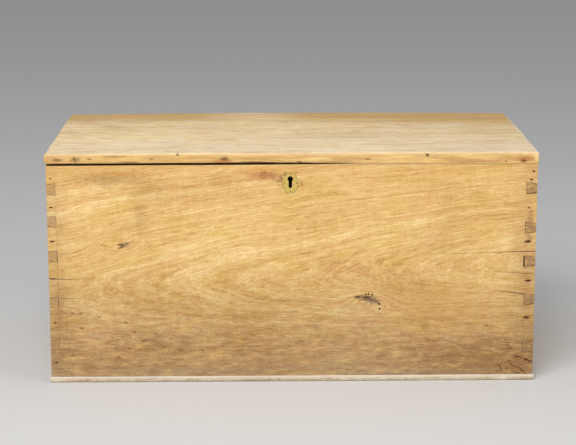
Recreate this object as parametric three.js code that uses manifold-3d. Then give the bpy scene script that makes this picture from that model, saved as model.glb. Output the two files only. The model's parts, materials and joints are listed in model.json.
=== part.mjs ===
// A plank sea chest of the nineteenth century. Four wide boards are dovetailed into a carcase, two thin
// boards are nailed on below as its bottom, and a single plank on two butt hinges is the lid. A box lock
// with a hooked bolt is let into the front board behind an oval escutcheon. Inside are an open till at the
// left end and two battens that keep the lid flat. Each end carries an iron drop handle.
// Millimetres, +Z up, +X to the right, the front faces -Y. The origin is the middle of the underside.
import * as THREE from "three";
import { mergeVertices } from "three/addons/utils/BufferGeometryUtils.js";
import Module from "manifold-3d";

const wasm = await Module();
wasm.setup();

// Carcase
const CHEST_WIDTH = 1000;
const CHEST_DEPTH = 525;
const CHEST_HEIGHT = 481.6; // from the floor to the lid's top
const WALL_THICKNESS = 22;
const LEFT_END_THICKNESS = 18; // this end board was planed thinner
const FIT_GAP = 0.3; // between faces that the joiner planed to touch

// Dovetails: the end boards carry the pins, whose end grain shows on the front and the back
const PIN_HEIGHT = 21; // halfway through the corner
const PIN_FLARE = 3.6; // a pin is this much taller inside than at the corner
const LEFT_PIN_SHARES = [0.151, 0.354, 0.575, 0.737, 0.887]; // of the wall's height
const RIGHT_PIN_SHARES = [0.132, 0.36, 0.54, 0.699, 0.885];

// Bottom boards
const BOTTOM_THICKNESS = 12.2;
const BOTTOM_FRONT_WIDTH = 300; // from the front wall's face to the seam
const BOTTOM_OVERHANG = 3;
const BOTTOM_TOP_ROUND = 1.6;
const BOTTOM_FOOT_ROUND = 4;

// Lid
const LID_THICKNESS = 22.8;
const LID_END_OVERHANG = 2;
const LID_SIDE_OVERHANG = 3; // at the front and the back
const LID_TOP_ROUND = 4.5;
const LID_FOOT_ROUND = 1.5;

// Battens under the lid
const BATTEN_WIDTH = 40;
const BATTEN_THICKNESS = 16;
const BATTEN_INSET = 210; // from the chest's end to a batten's middle
const BATTEN_END_GAP = 3; // to the walls, so that they swing clear
const BATTEN_CHAMFER = 5;
const BATTEN_END_SLOPE = 12;

// Butt hinges
const HINGE_LENGTH = 76;
const HINGE_INSET = 170; // from the chest's end to a hinge's middle
const HINGE_SET_BACK = 0.5; // the pin's centre behind the back board
const LEAF_WIDTH = 20; // from the pin's centre to the leaf's far edge
const LEAF_THICKNESS = 2.2;
const KNUCKLE_RADIUS = 4.5;
const KNUCKLE_COUNT = 5;
const KNUCKLE_ROOM = 0.5; // round a knuckle that turns in wood or beside a leaf
const HINGE_PIN_RADIUS = 2;
const HINGE_PIN_ROOM = 0.35;
const LEAF_SCREW_COUNT = 3;
const LEAF_SCREW_SPACING = 26;
const LEAF_SCREW_SET_BACK = 12; // from the pin's centre

// Lock: a plate with a top edge, let in flush inside the front board, and a shell in a deeper mortise
const LOCK_OFFSET = -4; // from the middle of the front
const LOCK_WIDTH = 92;
const LOCK_HEIGHT = 66;
const LOCK_FLANGE = 8; // of the plate, beside and below the shell
const LOCK_PLATE_THICKNESS = 2;
const LOCK_SHELL_DEPTH = 13;
const LOCK_SHELL_WALL = 1.5;
const LOCK_SCREW_TOP_DROP = 9;

// Bolt and its guides
const BOLT_THROW = 8;
const BOLT_TOP_DROP = 17; // from the rim to the bar's upper edge
const BOLT_BAR_HEIGHT = 7;
const BOLT_END_ROOM = 2.5; // to the shell, at each end of its travel
const BOLT_THICKNESS = 6;
const HOOK_THICKNESS = 3.2;
const HOOK_HEIGHT = 3.8;
const HOOK_LENGTH = 8;
const HOOK_RISER_WIDTH = 4;
const GUIDE_WIDTH = 5;
const GUIDE_HEIGHT = 2.6;
const GUIDE_TAIL = 13; // from the bar's left end to its left slot
const GUIDE_NOSE = 3.2; // from its right slot to its right end
const TALON_WIDTH = 9;
const TALON_DEPTH = 2.6;
const KEY_PIN_RADIUS = 2;
const KEY_PIN_LENGTH = 11;
const WARD_RADIUS = 9.2;
const WARD_THICKNESS = 1.6;
const WARD_HEIGHT = 3;
const WARD_MOUTH = 10; // lets the key's bit into the ring

// Back spring of the bolt, and the ledge that it rubs along
const SPRING_LENGTH = 17;
const SPRING_DROP = 6.5;
const SPRING_THICKNESS = 0.9;
const SPRING_WIDTH = 4;
const SPRING_LEDGE_THICKNESS = 1.6;
const SPRING_LEDGE_EXTRA = 1.5; // past the spring's travel, at each end

// Links on the lid, which the bolt's hooks catch
const LINK_SPREAD = 32;
const LINK_WIDTH = 7;
const LINK_THICKNESS = 3;
const LINK_LENGTH = 14.5; // below the rim
const LINK_EYE_WIDTH = 4.2;
const LINK_EYE_HEIGHT = 5;
const LINK_ROOM = 1.5; // round a link in its slot
const LINK_HOOK_GAP = 1; // from a drawn hook to the link
const LINK_PLATE_LENGTH = 74;
const LINK_PLATE_WIDTH = 16;
const LINK_PLATE_THICKNESS = 2;
const LINK_SCREW_SPREAD = 58;

// Keyhole and escutcheon
const KEY_DROP = 30.3; // from the rim to the key pin
const KEYHOLE_RADIUS = 5.6;
const KEYHOLE_SLOT_WIDTH = 7;
const KEYHOLE_SLOT_LENGTH = 18.8; // from the key pin down
const KEYHOLE_ROOM = 0.6; // the wood is cut wider than the escutcheon
const ESCUTCHEON_WIDTH = 32;
const ESCUTCHEON_HEIGHT = 42;
const ESCUTCHEON_DROP = 38.7; // from the rim to its middle
const ESCUTCHEON_THICKNESS = 1.6;
const ESCUTCHEON_LET_IN = 0.8;

// Till
const TILL_WIDTH = 130; // inside
const TILL_HEIGHT = 125;
const TILL_DROP = 6; // from the rim
const TILL_BOARD = 10;
const TILL_FLOOR_RISE = 8; // its floor above the side's lower edge
const TILL_EDGE_ROUND = 3;
const HOUSING_DEPTH = 6;

// Drop handles
const HANDLE_DROP = 165; // from the rim to the bail's pivot
const HANDLE_PLATE_LENGTH = 146;
const HANDLE_PLATE_HEIGHT = 46;
const HANDLE_PLATE_THICKNESS = 3;
const HANDLE_PLATE_ROUND = 21;
const HANDLE_PIVOT_STAND_OFF = 10; // from the plate's face
const LUG_SPREAD = 96;
const LUG_WIDTH = 12;
const LUG_RADIUS = 7.5;
const BAIL_RADIUS = 4;
const BAIL_ROOM = 0.4; // round the bail's ends in the lugs
const BAIL_WIDTH = 128; // between the arms' centre lines
const BAIL_DROP = 52;
const BAIL_TOP_BEND = 8;
const BAIL_FOOT_BEND = 16;
const BAIL_END_PROUD = 2; // past the inner side of a lug
const GRIP_RADIUS = 6.5;
const GRIP_LENGTH = 84;
const HANDLE_SCREW_SPREAD = 58;
const HANDLE_SCREW_RISE = 14;

// Wood screws
const SCREW_HEAD_RADIUS = 2.8;
const SCREW_HEAD_DEPTH = 1.8;
const SCREW_HEAD_LAND = 0.3; // the head's thin upright edge
const SCREW_SHANK_RADIUS = 1.4;
const SCREW_LENGTH = 12;
const SCREW_POINT = 3;
const SCREW_ROOM = 0.3;

// How finely curves are drawn, and how far a cut runs past a face
const ROUND_STEPS = 3; // pairs of steps in a quarter or a whole arc
const OVAL_STEPS = 18;
const TURNED_SIDES = 16;
const SCREW_SIDES = 8;
const BAIL_SIDES = 10;
const BAIL_STEPS = 56;
const OVERRUN = 5;
const MERGE_DISTANCE = 1e-4;

// Levels and faces that pieces share
const WALL_FOOT = BOTTOM_THICKNESS + FIT_GAP;
const LID_FOOT = CHEST_HEIGHT - LID_THICKNESS;
const RIM = LID_FOOT - FIT_GAP;
const WALL_HEIGHT = RIM - WALL_FOOT;
const END_FACE = CHEST_WIDTH / 2;
const SIDE_FACE = CHEST_DEPTH / 2;
const INNER_X = { "-1": END_FACE - LEFT_END_THICKNESS, 1: END_FACE - WALL_THICKNESS };
const INNER_Y = SIDE_FACE - WALL_THICKNESS;
const HINGE_Y = SIDE_FACE + HINGE_SET_BACK;
const HINGE_Z = (RIM + LID_FOOT) / 2;
const LOCK_BACK = -INNER_Y; // the lock plate's open face, flush with the front board's inner face
const LOCK_INSIDE = LOCK_BACK - LOCK_PLATE_THICKNESS;
const KEY_Z = RIM - KEY_DROP;
const HANDLE_Z = RIM - HANDLE_DROP;

const X_AXIS = new THREE.Vector3(1, 0, 0);
const Y_AXIS = new THREE.Vector3(0, 1, 0);
const Z_AXIS = new THREE.Vector3(0, 0, 1);

const CAMPHOR = new THREE.MeshStandardMaterial({ color: 0xdcb06d, roughness: 0.62, metalness: 0 });
const PALE_WOOD = new THREE.MeshStandardMaterial({ color: 0xcfbfa6, roughness: 0.75, metalness: 0 });
const TILL_WOOD = new THREE.MeshStandardMaterial({ color: 0xc9a36a, roughness: 0.7, metalness: 0 });
const BRASS = new THREE.MeshStandardMaterial({ color: 0xb9a05a, roughness: 0.42, metalness: 0.9 });
const IRON = new THREE.MeshStandardMaterial({ color: 0x3a3632, roughness: 0.68, metalness: 0.75 });
const STEEL = new THREE.MeshStandardMaterial({ color: 0x6d6862, roughness: 0.5, metalness: 0.9 });

// A closed geometry as a solid, with its shared corners merged and any empty triangles left out.
function solidOf(geometry) {
  const open = geometry.index ? geometry.toNonIndexed() : geometry.clone();
  open.deleteAttribute("normal");
  open.deleteAttribute("uv");
  const merged = mergeVertices(open, MERGE_DISTANCE);
  const corners = [];
  for (let i = 0; i < merged.index.count; i += 3) {
    const [a, b, c] = [0, 1, 2].map((step) => merged.index.getX(i + step));
    if (a !== b && b !== c && c !== a) corners.push(a, b, c);
  }
  const mesh = new wasm.Mesh({
    numProp: 3,
    vertProperties: merged.attributes.position.array,
    triVerts: new Uint32Array(corners),
  });
  return new wasm.Manifold(mesh);
}

function geometryOf(solid) {
  const { vertProperties, triVerts } = solid.getMesh();
  const geometry = new THREE.BufferGeometry();
  geometry.setAttribute("position", new THREE.BufferAttribute(vertProperties, 3));
  geometry.setIndex(new THREE.BufferAttribute(triVerts, 1));
  geometry.computeVertexNormals();
  return geometry;
}

const cut = (solid, tools) => tools.reduce((left, tool) => left.subtract(tool), solid);
const join = (solids) => solids.reduce((whole, solid) => whole.add(solid));

// A box from its low and high value along each axis.
function block([x0, x1], [y0, y1], [z0, z1]) {
  const box = new THREE.BoxGeometry(x1 - x0, y1 - y0, z1 - z0);
  return solidOf(box.translate((x0 + x1) / 2, (y0 + y1) / 2, (z0 + z1) / 2));
}

// An outline pushed along an axis: drawn in Y and Z for x, and in X and Z for y.
const PRISM_TURN = {
  x: new THREE.Matrix4().makeBasis(Y_AXIS, Z_AXIS, X_AXIS),
  y: new THREE.Matrix4().makeBasis(X_AXIS, Z_AXIS, Y_AXIS.clone().negate()),
};
function prism(outline, axis, [low, high], curveSegments = ROUND_STEPS) {
  const options = { depth: high - low, bevelEnabled: false, curveSegments };
  const geometry = new THREE.ExtrudeGeometry(outline, options);
  geometry.translate(0, 0, axis === "y" ? -high : low);
  return solidOf(geometry.applyMatrix4(PRISM_TURN[axis]));
}

function polygon(points) {
  return new THREE.Shape(points.map(([a, b]) => new THREE.Vector2(a, b)));
}

// A rectangle with one round for both lower corners and one for both upper corners.
function easedOutline([left, right], [low, high], lowRound, highRound) {
  const quarter = Math.PI / 2;
  const outline = new THREE.Shape();
  outline.absarc(right - lowRound, low + lowRound, lowRound, -quarter, 0);
  outline.absarc(right - highRound, high - highRound, highRound, 0, quarter);
  outline.absarc(left + highRound, high - highRound, highRound, quarter, 2 * quarter);
  outline.absarc(left + lowRound, low + lowRound, lowRound, 2 * quarter, 3 * quarter);
  outline.closePath();
  return outline;
}

// A round bar along X or Y, with flats enough to turn in a hole.
function bar(axis, [low, high], a, b, radius, sides = TURNED_SIDES) {
  const outline = polygon(
    Array.from({ length: sides }, (_, step) => {
      const angle = (2 * Math.PI * step) / sides;
      return [a + radius * Math.cos(angle), b + radius * Math.sin(angle)];
    }),
  );
  return prism(outline, axis, [low, high]);
}

const span = (centre, size) => [centre - size / 2, centre + size / 2];
const grown = ([low, high], room) => [low - room, high + room];

// What moves as one is a group with its origin on the joint's axis, so turning the group moves it.
function movingGroup(x, y, z) {
  const group = new THREE.Group();
  group.position.set(x, y, z);
  return group;
}
const HANDLE_SIDES = { left: -1, right: 1 };
const BAIL_AXIS_X = END_FACE + FIT_GAP + HANDLE_PLATE_THICKNESS + HANDLE_PIVOT_STAND_OFF;
const carcase = new THREE.Group();
const lid = movingGroup(0, HINGE_Y, HINGE_Z);
const bolt = movingGroup(LOCK_OFFSET, LOCK_INSIDE, KEY_Z);
const handles = {
  left: movingGroup(-BAIL_AXIS_X, 0, HANDLE_Z),
  right: movingGroup(BAIL_AXIS_X, 0, HANDLE_Z),
};
const chest = new THREE.Group();
chest.add(carcase, lid, bolt, handles.left, handles.right);

// A piece is drawn in the chest's own frame, then hung in its group.
function addPiece(group, name, solid, material) {
  const geometry = geometryOf(solid);
  geometry.translate(-group.position.x, -group.position.y, -group.position.z);
  const mesh = new THREE.Mesh(geometry, material);
  mesh.name = name;
  group.add(mesh);
}

// A wood screw and its hole share one profile, turned about the screw's own axis with the head at the top.
function screwGeometry(room, headTop) {
  const head = SCREW_HEAD_RADIUS + room;
  const shank = SCREW_SHANK_RADIUS + room;
  const tip = -SCREW_LENGTH - room;
  const profile = [
    [0, tip],
    [shank, tip + SCREW_POINT],
    [shank, -SCREW_HEAD_DEPTH - room],
    [head, -SCREW_HEAD_LAND - room],
    [head, headTop],
    [0, headTop],
  ];
  return new THREE.LatheGeometry(
    profile.map(([radius, height]) => new THREE.Vector2(radius, height)),
    SCREW_SIDES,
  );
}
const SCREW_BODY = geometryOf(solidOf(screwGeometry(0, 0)));
const SCREW_HOLE = screwGeometry(SCREW_ROOM, OVERRUN);

// The screws that one piece of ironwork needs, driven along one direction. It returns their holes, which
// are cut from both the ironwork and the wood behind it.
function driveScrews(group, name, material, points, direction) {
  const turn = new THREE.Quaternion().setFromUnitVectors(Y_AXIS.clone().negate(), direction);
  return points.map((point, i) => {
    const screw = new THREE.Mesh(SCREW_BODY, material);
    screw.name = `${name}_${i + 1}`;
    screw.position.copy(point).sub(group.position);
    screw.quaternion.copy(turn);
    group.add(screw);
    const hole = SCREW_HOLE.clone().applyQuaternion(turn);
    return solidOf(hole.translate(point.x, point.y, point.z));
  });
}

// Dovetail pins, seen from the front
function pinOutline(side, share, room) {
  const centre = WALL_FOOT + share * WALL_HEIGHT;
  const low = PIN_HEIGHT / 2 - PIN_FLARE / 2 + room;
  const high = PIN_HEIGHT / 2 + PIN_FLARE / 2 + room;
  const corner = side * (END_FACE + (room > 0 ? OVERRUN : 0));
  const inside = side * (INNER_X[side] - room);
  return polygon([
    [corner, centre - low],
    [inside, centre - high],
    [inside, centre + high],
    [corner, centre + low],
  ]);
}
const PIN_SHARES = { "-1": LEFT_PIN_SHARES, 1: RIGHT_PIN_SHARES };

// The sockets that the pins fill in the front or the back board.
function pinSockets(facing) {
  const through = [facing * (INNER_Y - OVERRUN), facing * (SIDE_FACE + OVERRUN)].sort((a, b) => a - b);
  return [-1, 1].flatMap((side) =>
    PIN_SHARES[side].map((share) => prism(pinOutline(side, share, FIT_GAP), "y", through)),
  );
}

// Where the till's side and floor stand, and the housings cut for them
const TILL_END_X = -INNER_X[-1];
const TILL_SIDE_X = [TILL_END_X + TILL_WIDTH, TILL_END_X + TILL_WIDTH + TILL_BOARD];
const TILL_SIDE_Z = [RIM - TILL_DROP - TILL_HEIGHT, RIM - TILL_DROP];
const TILL_FLOOR_X = [TILL_END_X - HOUSING_DEPTH, TILL_SIDE_X[0] + TILL_BOARD / 2];
const TILL_FLOOR_Z = span(TILL_SIDE_Z[0] + TILL_FLOOR_RISE + TILL_BOARD / 2, TILL_BOARD);
const TILL_LENGTH_Y = [-INNER_Y - HOUSING_DEPTH, INNER_Y + HOUSING_DEPTH];
const tillHousings = [
  block(grown(TILL_SIDE_X, FIT_GAP), grown(TILL_LENGTH_Y, FIT_GAP), grown(TILL_SIDE_Z, FIT_GAP)),
  block(grown(TILL_FLOOR_X, FIT_GAP), grown(TILL_LENGTH_Y, FIT_GAP), grown(TILL_FLOOR_Z, FIT_GAP)),
];

// Keyhole: a round for the key's barrel over a slot for its bit
function keyholeOutline(room) {
  const radius = KEYHOLE_RADIUS + room;
  const half = KEYHOLE_SLOT_WIDTH / 2 + room;
  const foot = KEY_Z - KEYHOLE_SLOT_LENGTH + half - room;
  const meet = Math.asin(half / radius);
  const outline = new THREE.Shape();
  outline.absarc(LOCK_OFFSET, KEY_Z, radius, meet - Math.PI / 2, 1.5 * Math.PI - meet);
  outline.absarc(LOCK_OFFSET, foot, half, Math.PI, 2 * Math.PI);
  outline.closePath();
  return outline;
}
const keyhole = (room, y) => prism(keyholeOutline(room), "y", y, ROUND_STEPS * 2);

function ovalOutline(room) {
  const outline = new THREE.Shape();
  const middle = RIM - ESCUTCHEON_DROP;
  const [across, up] = [ESCUTCHEON_WIDTH / 2 + room, ESCUTCHEON_HEIGHT / 2 + room];
  outline.absellipse(LOCK_OFFSET, middle, across, up, 0, 2 * Math.PI);
  return outline;
}

// Lock plate, with slots for the links in its top edge and the guides and the spring's ledge inside
const LOCK_X = span(LOCK_OFFSET, LOCK_WIDTH);
const LOCK_Z = [RIM - LOCK_HEIGHT, RIM];
const LOCK_SHELL_X = grown(LOCK_X, -LOCK_FLANGE);
const LOCK_SHELL_Z = [LOCK_Z[0] + LOCK_FLANGE, RIM - LOCK_PLATE_THICKNESS - FIT_GAP];
const LOCK_FRONT = LOCK_INSIDE - FIT_GAP - LOCK_SHELL_DEPTH;
const LOCK_TOP_EDGE_Y = [LOCK_FRONT, LOCK_BACK];
const BOLT_Y = [LOCK_INSIDE - FIT_GAP - BOLT_THICKNESS, LOCK_INSIDE - FIT_GAP];
const HOOK_Y = [BOLT_Y[0], BOLT_Y[0] + HOOK_THICKNESS];
const LINK_Y = (HOOK_Y[0] + HOOK_Y[1]) / 2;
const LINK_X = [-1, 1].map((side) => LOCK_OFFSET + (side * LINK_SPREAD) / 2);
const BAR_X = [
  LOCK_SHELL_X[0] + LOCK_SHELL_WALL + BOLT_END_ROOM,
  LOCK_SHELL_X[1] - LOCK_SHELL_WALL - BOLT_END_ROOM - BOLT_THROW,
];
const BAR_Z = [RIM - BOLT_TOP_DROP - BOLT_BAR_HEIGHT, RIM - BOLT_TOP_DROP];
const GUIDE_SLOT_LENGTH = GUIDE_WIDTH + BOLT_THROW + 2 * FIT_GAP;
const GUIDE_SLOT_X = [
  [BAR_X[0] + GUIDE_TAIL, BAR_X[0] + GUIDE_TAIL + GUIDE_SLOT_LENGTH],
  [BAR_X[1] - GUIDE_NOSE - GUIDE_SLOT_LENGTH, BAR_X[1] - GUIDE_NOSE],
];
const GUIDE_Z = span((BAR_Z[0] + BAR_Z[1]) / 2, GUIDE_HEIGHT);
const SPRING_X = [BAR_X[0], BAR_X[0] + SPRING_LENGTH];
const SPRING_FOOT = BAR_Z[0] - FIT_GAP - SPRING_DROP;
const SPRING_Y = [BOLT_Y[1] - SPRING_WIDTH, BOLT_Y[1]];

const lockScrewPoints = [-1, 1].flatMap((side) =>
  [RIM - LOCK_SCREW_TOP_DROP, LOCK_Z[0] + LOCK_FLANGE / 2].map(
    (z) => new THREE.Vector3(LOCK_OFFSET + (side * (LOCK_WIDTH - LOCK_FLANGE)) / 2, LOCK_BACK, z),
  ),
);
const lockScrewHoles = driveScrews(carcase, "lock_screw", STEEL, lockScrewPoints, Y_AXIS.clone().negate());

function lockPlate() {
  const sheet = block(LOCK_X, [LOCK_INSIDE, LOCK_BACK], LOCK_Z);
  const topEdge = block(LOCK_X, LOCK_TOP_EDGE_Y, [RIM - LOCK_PLATE_THICKNESS, RIM]);
  const guides = GUIDE_SLOT_X.map(([, right]) => {
    const x = [right - FIT_GAP - GUIDE_WIDTH, right - FIT_GAP];
    return block(x, [BOLT_Y[0] - FIT_GAP, LOCK_BACK], GUIDE_Z);
  });
  const ledgeX = [SPRING_X[0] - SPRING_LEDGE_EXTRA, SPRING_X[1] + BOLT_THROW + SPRING_LEDGE_EXTRA];
  const ledgeZ = [SPRING_FOOT - FIT_GAP - SPRING_LEDGE_THICKNESS, SPRING_FOOT - FIT_GAP];
  const ledge = block(ledgeX, [SPRING_Y[0], LOCK_BACK], ledgeZ);
  const slots = LINK_X.map((x) =>
    block(
      span(x, LINK_THICKNESS + 2 * LINK_ROOM),
      span(LINK_Y, LINK_WIDTH + 2 * LINK_ROOM),
      [RIM - LOCK_PLATE_THICKNESS - OVERRUN, RIM + OVERRUN],
    ),
  );
  // A slot is cut from the top edge alone, and leaves the sheet behind it whole.
  const slottedEdge = cut(topEdge, slots);
  return cut(join([sheet, slottedEdge, ...guides, ledge]), lockScrewHoles);
}

function lockShell() {
  const back = LOCK_INSIDE - FIT_GAP;
  const [foot, top] = LOCK_SHELL_Z;
  const whole = block(LOCK_SHELL_X, [LOCK_FRONT, back], LOCK_SHELL_Z);
  const hollow = block(
    grown(LOCK_SHELL_X, -LOCK_SHELL_WALL),
    [LOCK_FRONT + LOCK_SHELL_WALL, back + OVERRUN],
    [foot + LOCK_SHELL_WALL, top + OVERRUN],
  );
  return cut(whole, [hollow, keyhole(0, [LOCK_FRONT - OVERRUN, LOCK_FRONT + OVERRUN])]);
}

function lockBolt() {
  const bolt = block(BAR_X, BOLT_Y, BAR_Z);
  const eyeMiddle = RIM - LINK_LENGTH + LINK_THICKNESS + LINK_EYE_HEIGHT / 2;
  const hookZ = span(eyeMiddle, HOOK_HEIGHT);
  const hooks = LINK_X.map((x) => {
    const tip = x - LINK_THICKNESS / 2 - LINK_HOOK_GAP;
    const root = tip - HOOK_LENGTH;
    return join([
      block([root - HOOK_RISER_WIDTH, tip], HOOK_Y, hookZ),
      block([root - HOOK_RISER_WIDTH, root], HOOK_Y, [BAR_Z[0], hookZ[1]]),
    ]);
  });
  const slots = GUIDE_SLOT_X.map((x) => block(x, grown(BOLT_Y, OVERRUN), grown(GUIDE_Z, FIT_GAP)));
  const talonX = span(LOCK_OFFSET, TALON_WIDTH);
  const talon = block(talonX, grown(BOLT_Y, OVERRUN), [BAR_Z[0] - OVERRUN, BAR_Z[0] + TALON_DEPTH]);
  return cut(join([bolt, ...hooks]), [...slots, talon]);
}

// A bowed leaf under the bolt's tail, which holds the bolt where the key leaves it
function boltSpring() {
  const middle = (SPRING_X[0] + SPRING_X[1]) / 2;
  const top = BAR_Z[0] - FIT_GAP;
  const bow = new THREE.Shape();
  bow.moveTo(SPRING_X[0], top);
  bow.quadraticCurveTo(middle, 2 * SPRING_FOOT - top, SPRING_X[1], top);
  bow.lineTo(SPRING_X[1] - SPRING_THICKNESS, top);
  bow.quadraticCurveTo(
    middle,
    2 * (SPRING_FOOT + SPRING_THICKNESS) - top,
    SPRING_X[0] + SPRING_THICKNESS,
    top,
  );
  bow.closePath();
  return prism(bow, "y", SPRING_Y, ROUND_STEPS * 3);
}

// A ring round the key pin with a mouth below, which only the right key's bit can pass
function lockWard() {
  const y = [LOCK_FRONT + LOCK_SHELL_WALL + FIT_GAP, LOCK_FRONT + LOCK_SHELL_WALL + FIT_GAP + WARD_HEIGHT];
  const ring = bar("y", y, LOCK_OFFSET, KEY_Z, WARD_RADIUS);
  const inside = bar("y", grown(y, OVERRUN), LOCK_OFFSET, KEY_Z, WARD_RADIUS - WARD_THICKNESS);
  const mouth = block(span(LOCK_OFFSET, WARD_MOUTH), grown(y, OVERRUN), [KEY_Z - 2 * WARD_RADIUS, KEY_Z]);
  return cut(ring, [inside, mouth]);
}

// Links: a plate let in under the lid, with two eyes that hang into the lock
const linkScrewPoints = [-1, 1].map(
  (side) => new THREE.Vector3(LOCK_OFFSET + (side * LINK_SCREW_SPREAD) / 2, LINK_Y, LID_FOOT),
);
const linkScrewHoles = driveScrews(lid, "link_screw", STEEL, linkScrewPoints, Z_AXIS);
const LINK_PLATE_X = span(LOCK_OFFSET, LINK_PLATE_LENGTH);
const LINK_PLATE_Y = span(LINK_Y, LINK_PLATE_WIDTH);
const LINK_PLATE_Z = [LID_FOOT, LID_FOOT + LINK_PLATE_THICKNESS];

function linkPlate() {
  const plate = block(LINK_PLATE_X, LINK_PLATE_Y, LINK_PLATE_Z);
  const foot = RIM - LINK_LENGTH;
  const links = LINK_X.map((x) => {
    const tongue = easedOutline(span(LINK_Y, LINK_WIDTH), [foot, LINK_PLATE_Z[1]], LINK_EYE_WIDTH / 2, 0);
    const eyeZ = [foot + LINK_THICKNESS, foot + LINK_THICKNESS + LINK_EYE_HEIGHT];
    const eye = block(span(x, LINK_THICKNESS + OVERRUN), span(LINK_Y, LINK_EYE_WIDTH), eyeZ);
    return cut(prism(tongue, "x", span(x, LINK_THICKNESS)), [eye]);
  });
  return cut(join([plate, ...links]), linkScrewHoles);
}

// Hinges: one leaf let into the back board's top edge, the other under the lid
const HINGE_X = { left: -END_FACE + HINGE_INSET, right: END_FACE - HINGE_INSET };
const leafScrewPoints = (centre, z) =>
  Array.from({ length: LEAF_SCREW_COUNT }, (_, i) => {
    const x = centre + (i - (LEAF_SCREW_COUNT - 1) / 2) * LEAF_SCREW_SPACING;
    return new THREE.Vector3(x, HINGE_Y - LEAF_SCREW_SET_BACK, z);
  });
const leafSeat = (centre, z, room) =>
  block(grown(span(centre, HINGE_LENGTH), room), [HINGE_Y - LEAF_WIDTH - room, HINGE_Y + OVERRUN], z);
const knuckleSeat = (centre) => {
  const x = grown(span(centre, HINGE_LENGTH), KNUCKLE_ROOM);
  return bar("x", x, HINGE_Y, HINGE_Z, KNUCKLE_RADIUS + KNUCKLE_ROOM);
};

// A leaf carries every other knuckle: the even ones below, the odd ones above.
function hingeLeaf(centre, z, first, holes) {
  const step = HINGE_LENGTH / KNUCKLE_COUNT;
  const start = centre - HINGE_LENGTH / 2;
  const places = Array.from({ length: KNUCKLE_COUNT }, (_, i) => i);
  const knuckle = (i, radius, room) =>
    bar("x", grown([start + i * step, start + (i + 1) * step], room), HINGE_Y, HINGE_Z, radius);
  const own = places.filter((i) => i % 2 === first);
  const others = places.filter((i) => i % 2 !== first);
  const sheet = block(span(centre, HINGE_LENGTH), [HINGE_Y - LEAF_WIDTH, HINGE_Y], z);
  const cleared = cut(
    sheet,
    others.map((i) => knuckle(i, KNUCKLE_RADIUS + KNUCKLE_ROOM, FIT_GAP / 2)),
  );
  const barrel = own.map((i) => knuckle(i, KNUCKLE_RADIUS, -FIT_GAP / 2));
  const boreX = grown(span(centre, HINGE_LENGTH), OVERRUN);
  const bore = bar("x", boreX, HINGE_Y, HINGE_Z, HINGE_PIN_RADIUS + HINGE_PIN_ROOM);
  return cut(join([cleared, ...barrel]), [bore, ...holes]);
}

const LOWER_LEAF_Z = [RIM - LEAF_THICKNESS, RIM];
const UPPER_LEAF_Z = [LID_FOOT, LID_FOOT + LEAF_THICKNESS];
const leafHoles = { lower: [], upper: [] };
for (const [side, centre] of Object.entries(HINGE_X)) {
  const below = leafScrewPoints(centre, RIM);
  const above = leafScrewPoints(centre, LID_FOOT);
  const down = Z_AXIS.clone().negate();
  const lowerHoles = driveScrews(carcase, `${side}_hinge_lower_screw`, STEEL, below, down);
  const upperHoles = driveScrews(lid, `${side}_hinge_upper_screw`, STEEL, above, Z_AXIS);
  leafHoles.lower.push(...lowerHoles);
  leafHoles.upper.push(...upperHoles);
  const pin = bar("x", span(centre, HINGE_LENGTH), HINGE_Y, HINGE_Z, HINGE_PIN_RADIUS);
  addPiece(carcase, `${side}_hinge_lower_leaf`, hingeLeaf(centre, LOWER_LEAF_Z, 0, lowerHoles), IRON);
  addPiece(lid, `${side}_hinge_upper_leaf`, hingeLeaf(centre, UPPER_LEAF_Z, 1, upperHoles), IRON);
  addPiece(carcase, `${side}_hinge_pin`, pin, IRON);
}

// Drop handles: a plate with two lugs, and a bail whose turned-in ends swing in them
const handleScrewHoles = {};
function handlePlate(side, holes) {
  const pivot = side * BAIL_AXIS_X;
  const front = pivot - side * HANDLE_PIVOT_STAND_OFF;
  const face = front - side * HANDLE_PLATE_THICKNESS;
  const ordered = (a, b) => [a, b].sort((p, q) => p - q);
  const sheet = prism(
    easedOutline(
      span(0, HANDLE_PLATE_LENGTH),
      span(HANDLE_Z, HANDLE_PLATE_HEIGHT),
      HANDLE_PLATE_ROUND,
      HANDLE_PLATE_ROUND,
    ),
    "x",
    ordered(face, front),
  );
  const lugs = [-1, 1].map((end) => {
    const y = span((end * LUG_SPREAD) / 2, LUG_WIDTH);
    const nose = bar("y", y, pivot, HANDLE_Z, LUG_RADIUS);
    return join([nose, block(ordered(face, pivot), y, span(HANDLE_Z, 2 * LUG_RADIUS))]);
  });
  const bore = bar("y", span(0, HANDLE_PLATE_LENGTH), pivot, HANDLE_Z, BAIL_RADIUS + BAIL_ROOM);
  return cut(join([sheet, ...lugs]), [bore, ...holes]);
}

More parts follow.
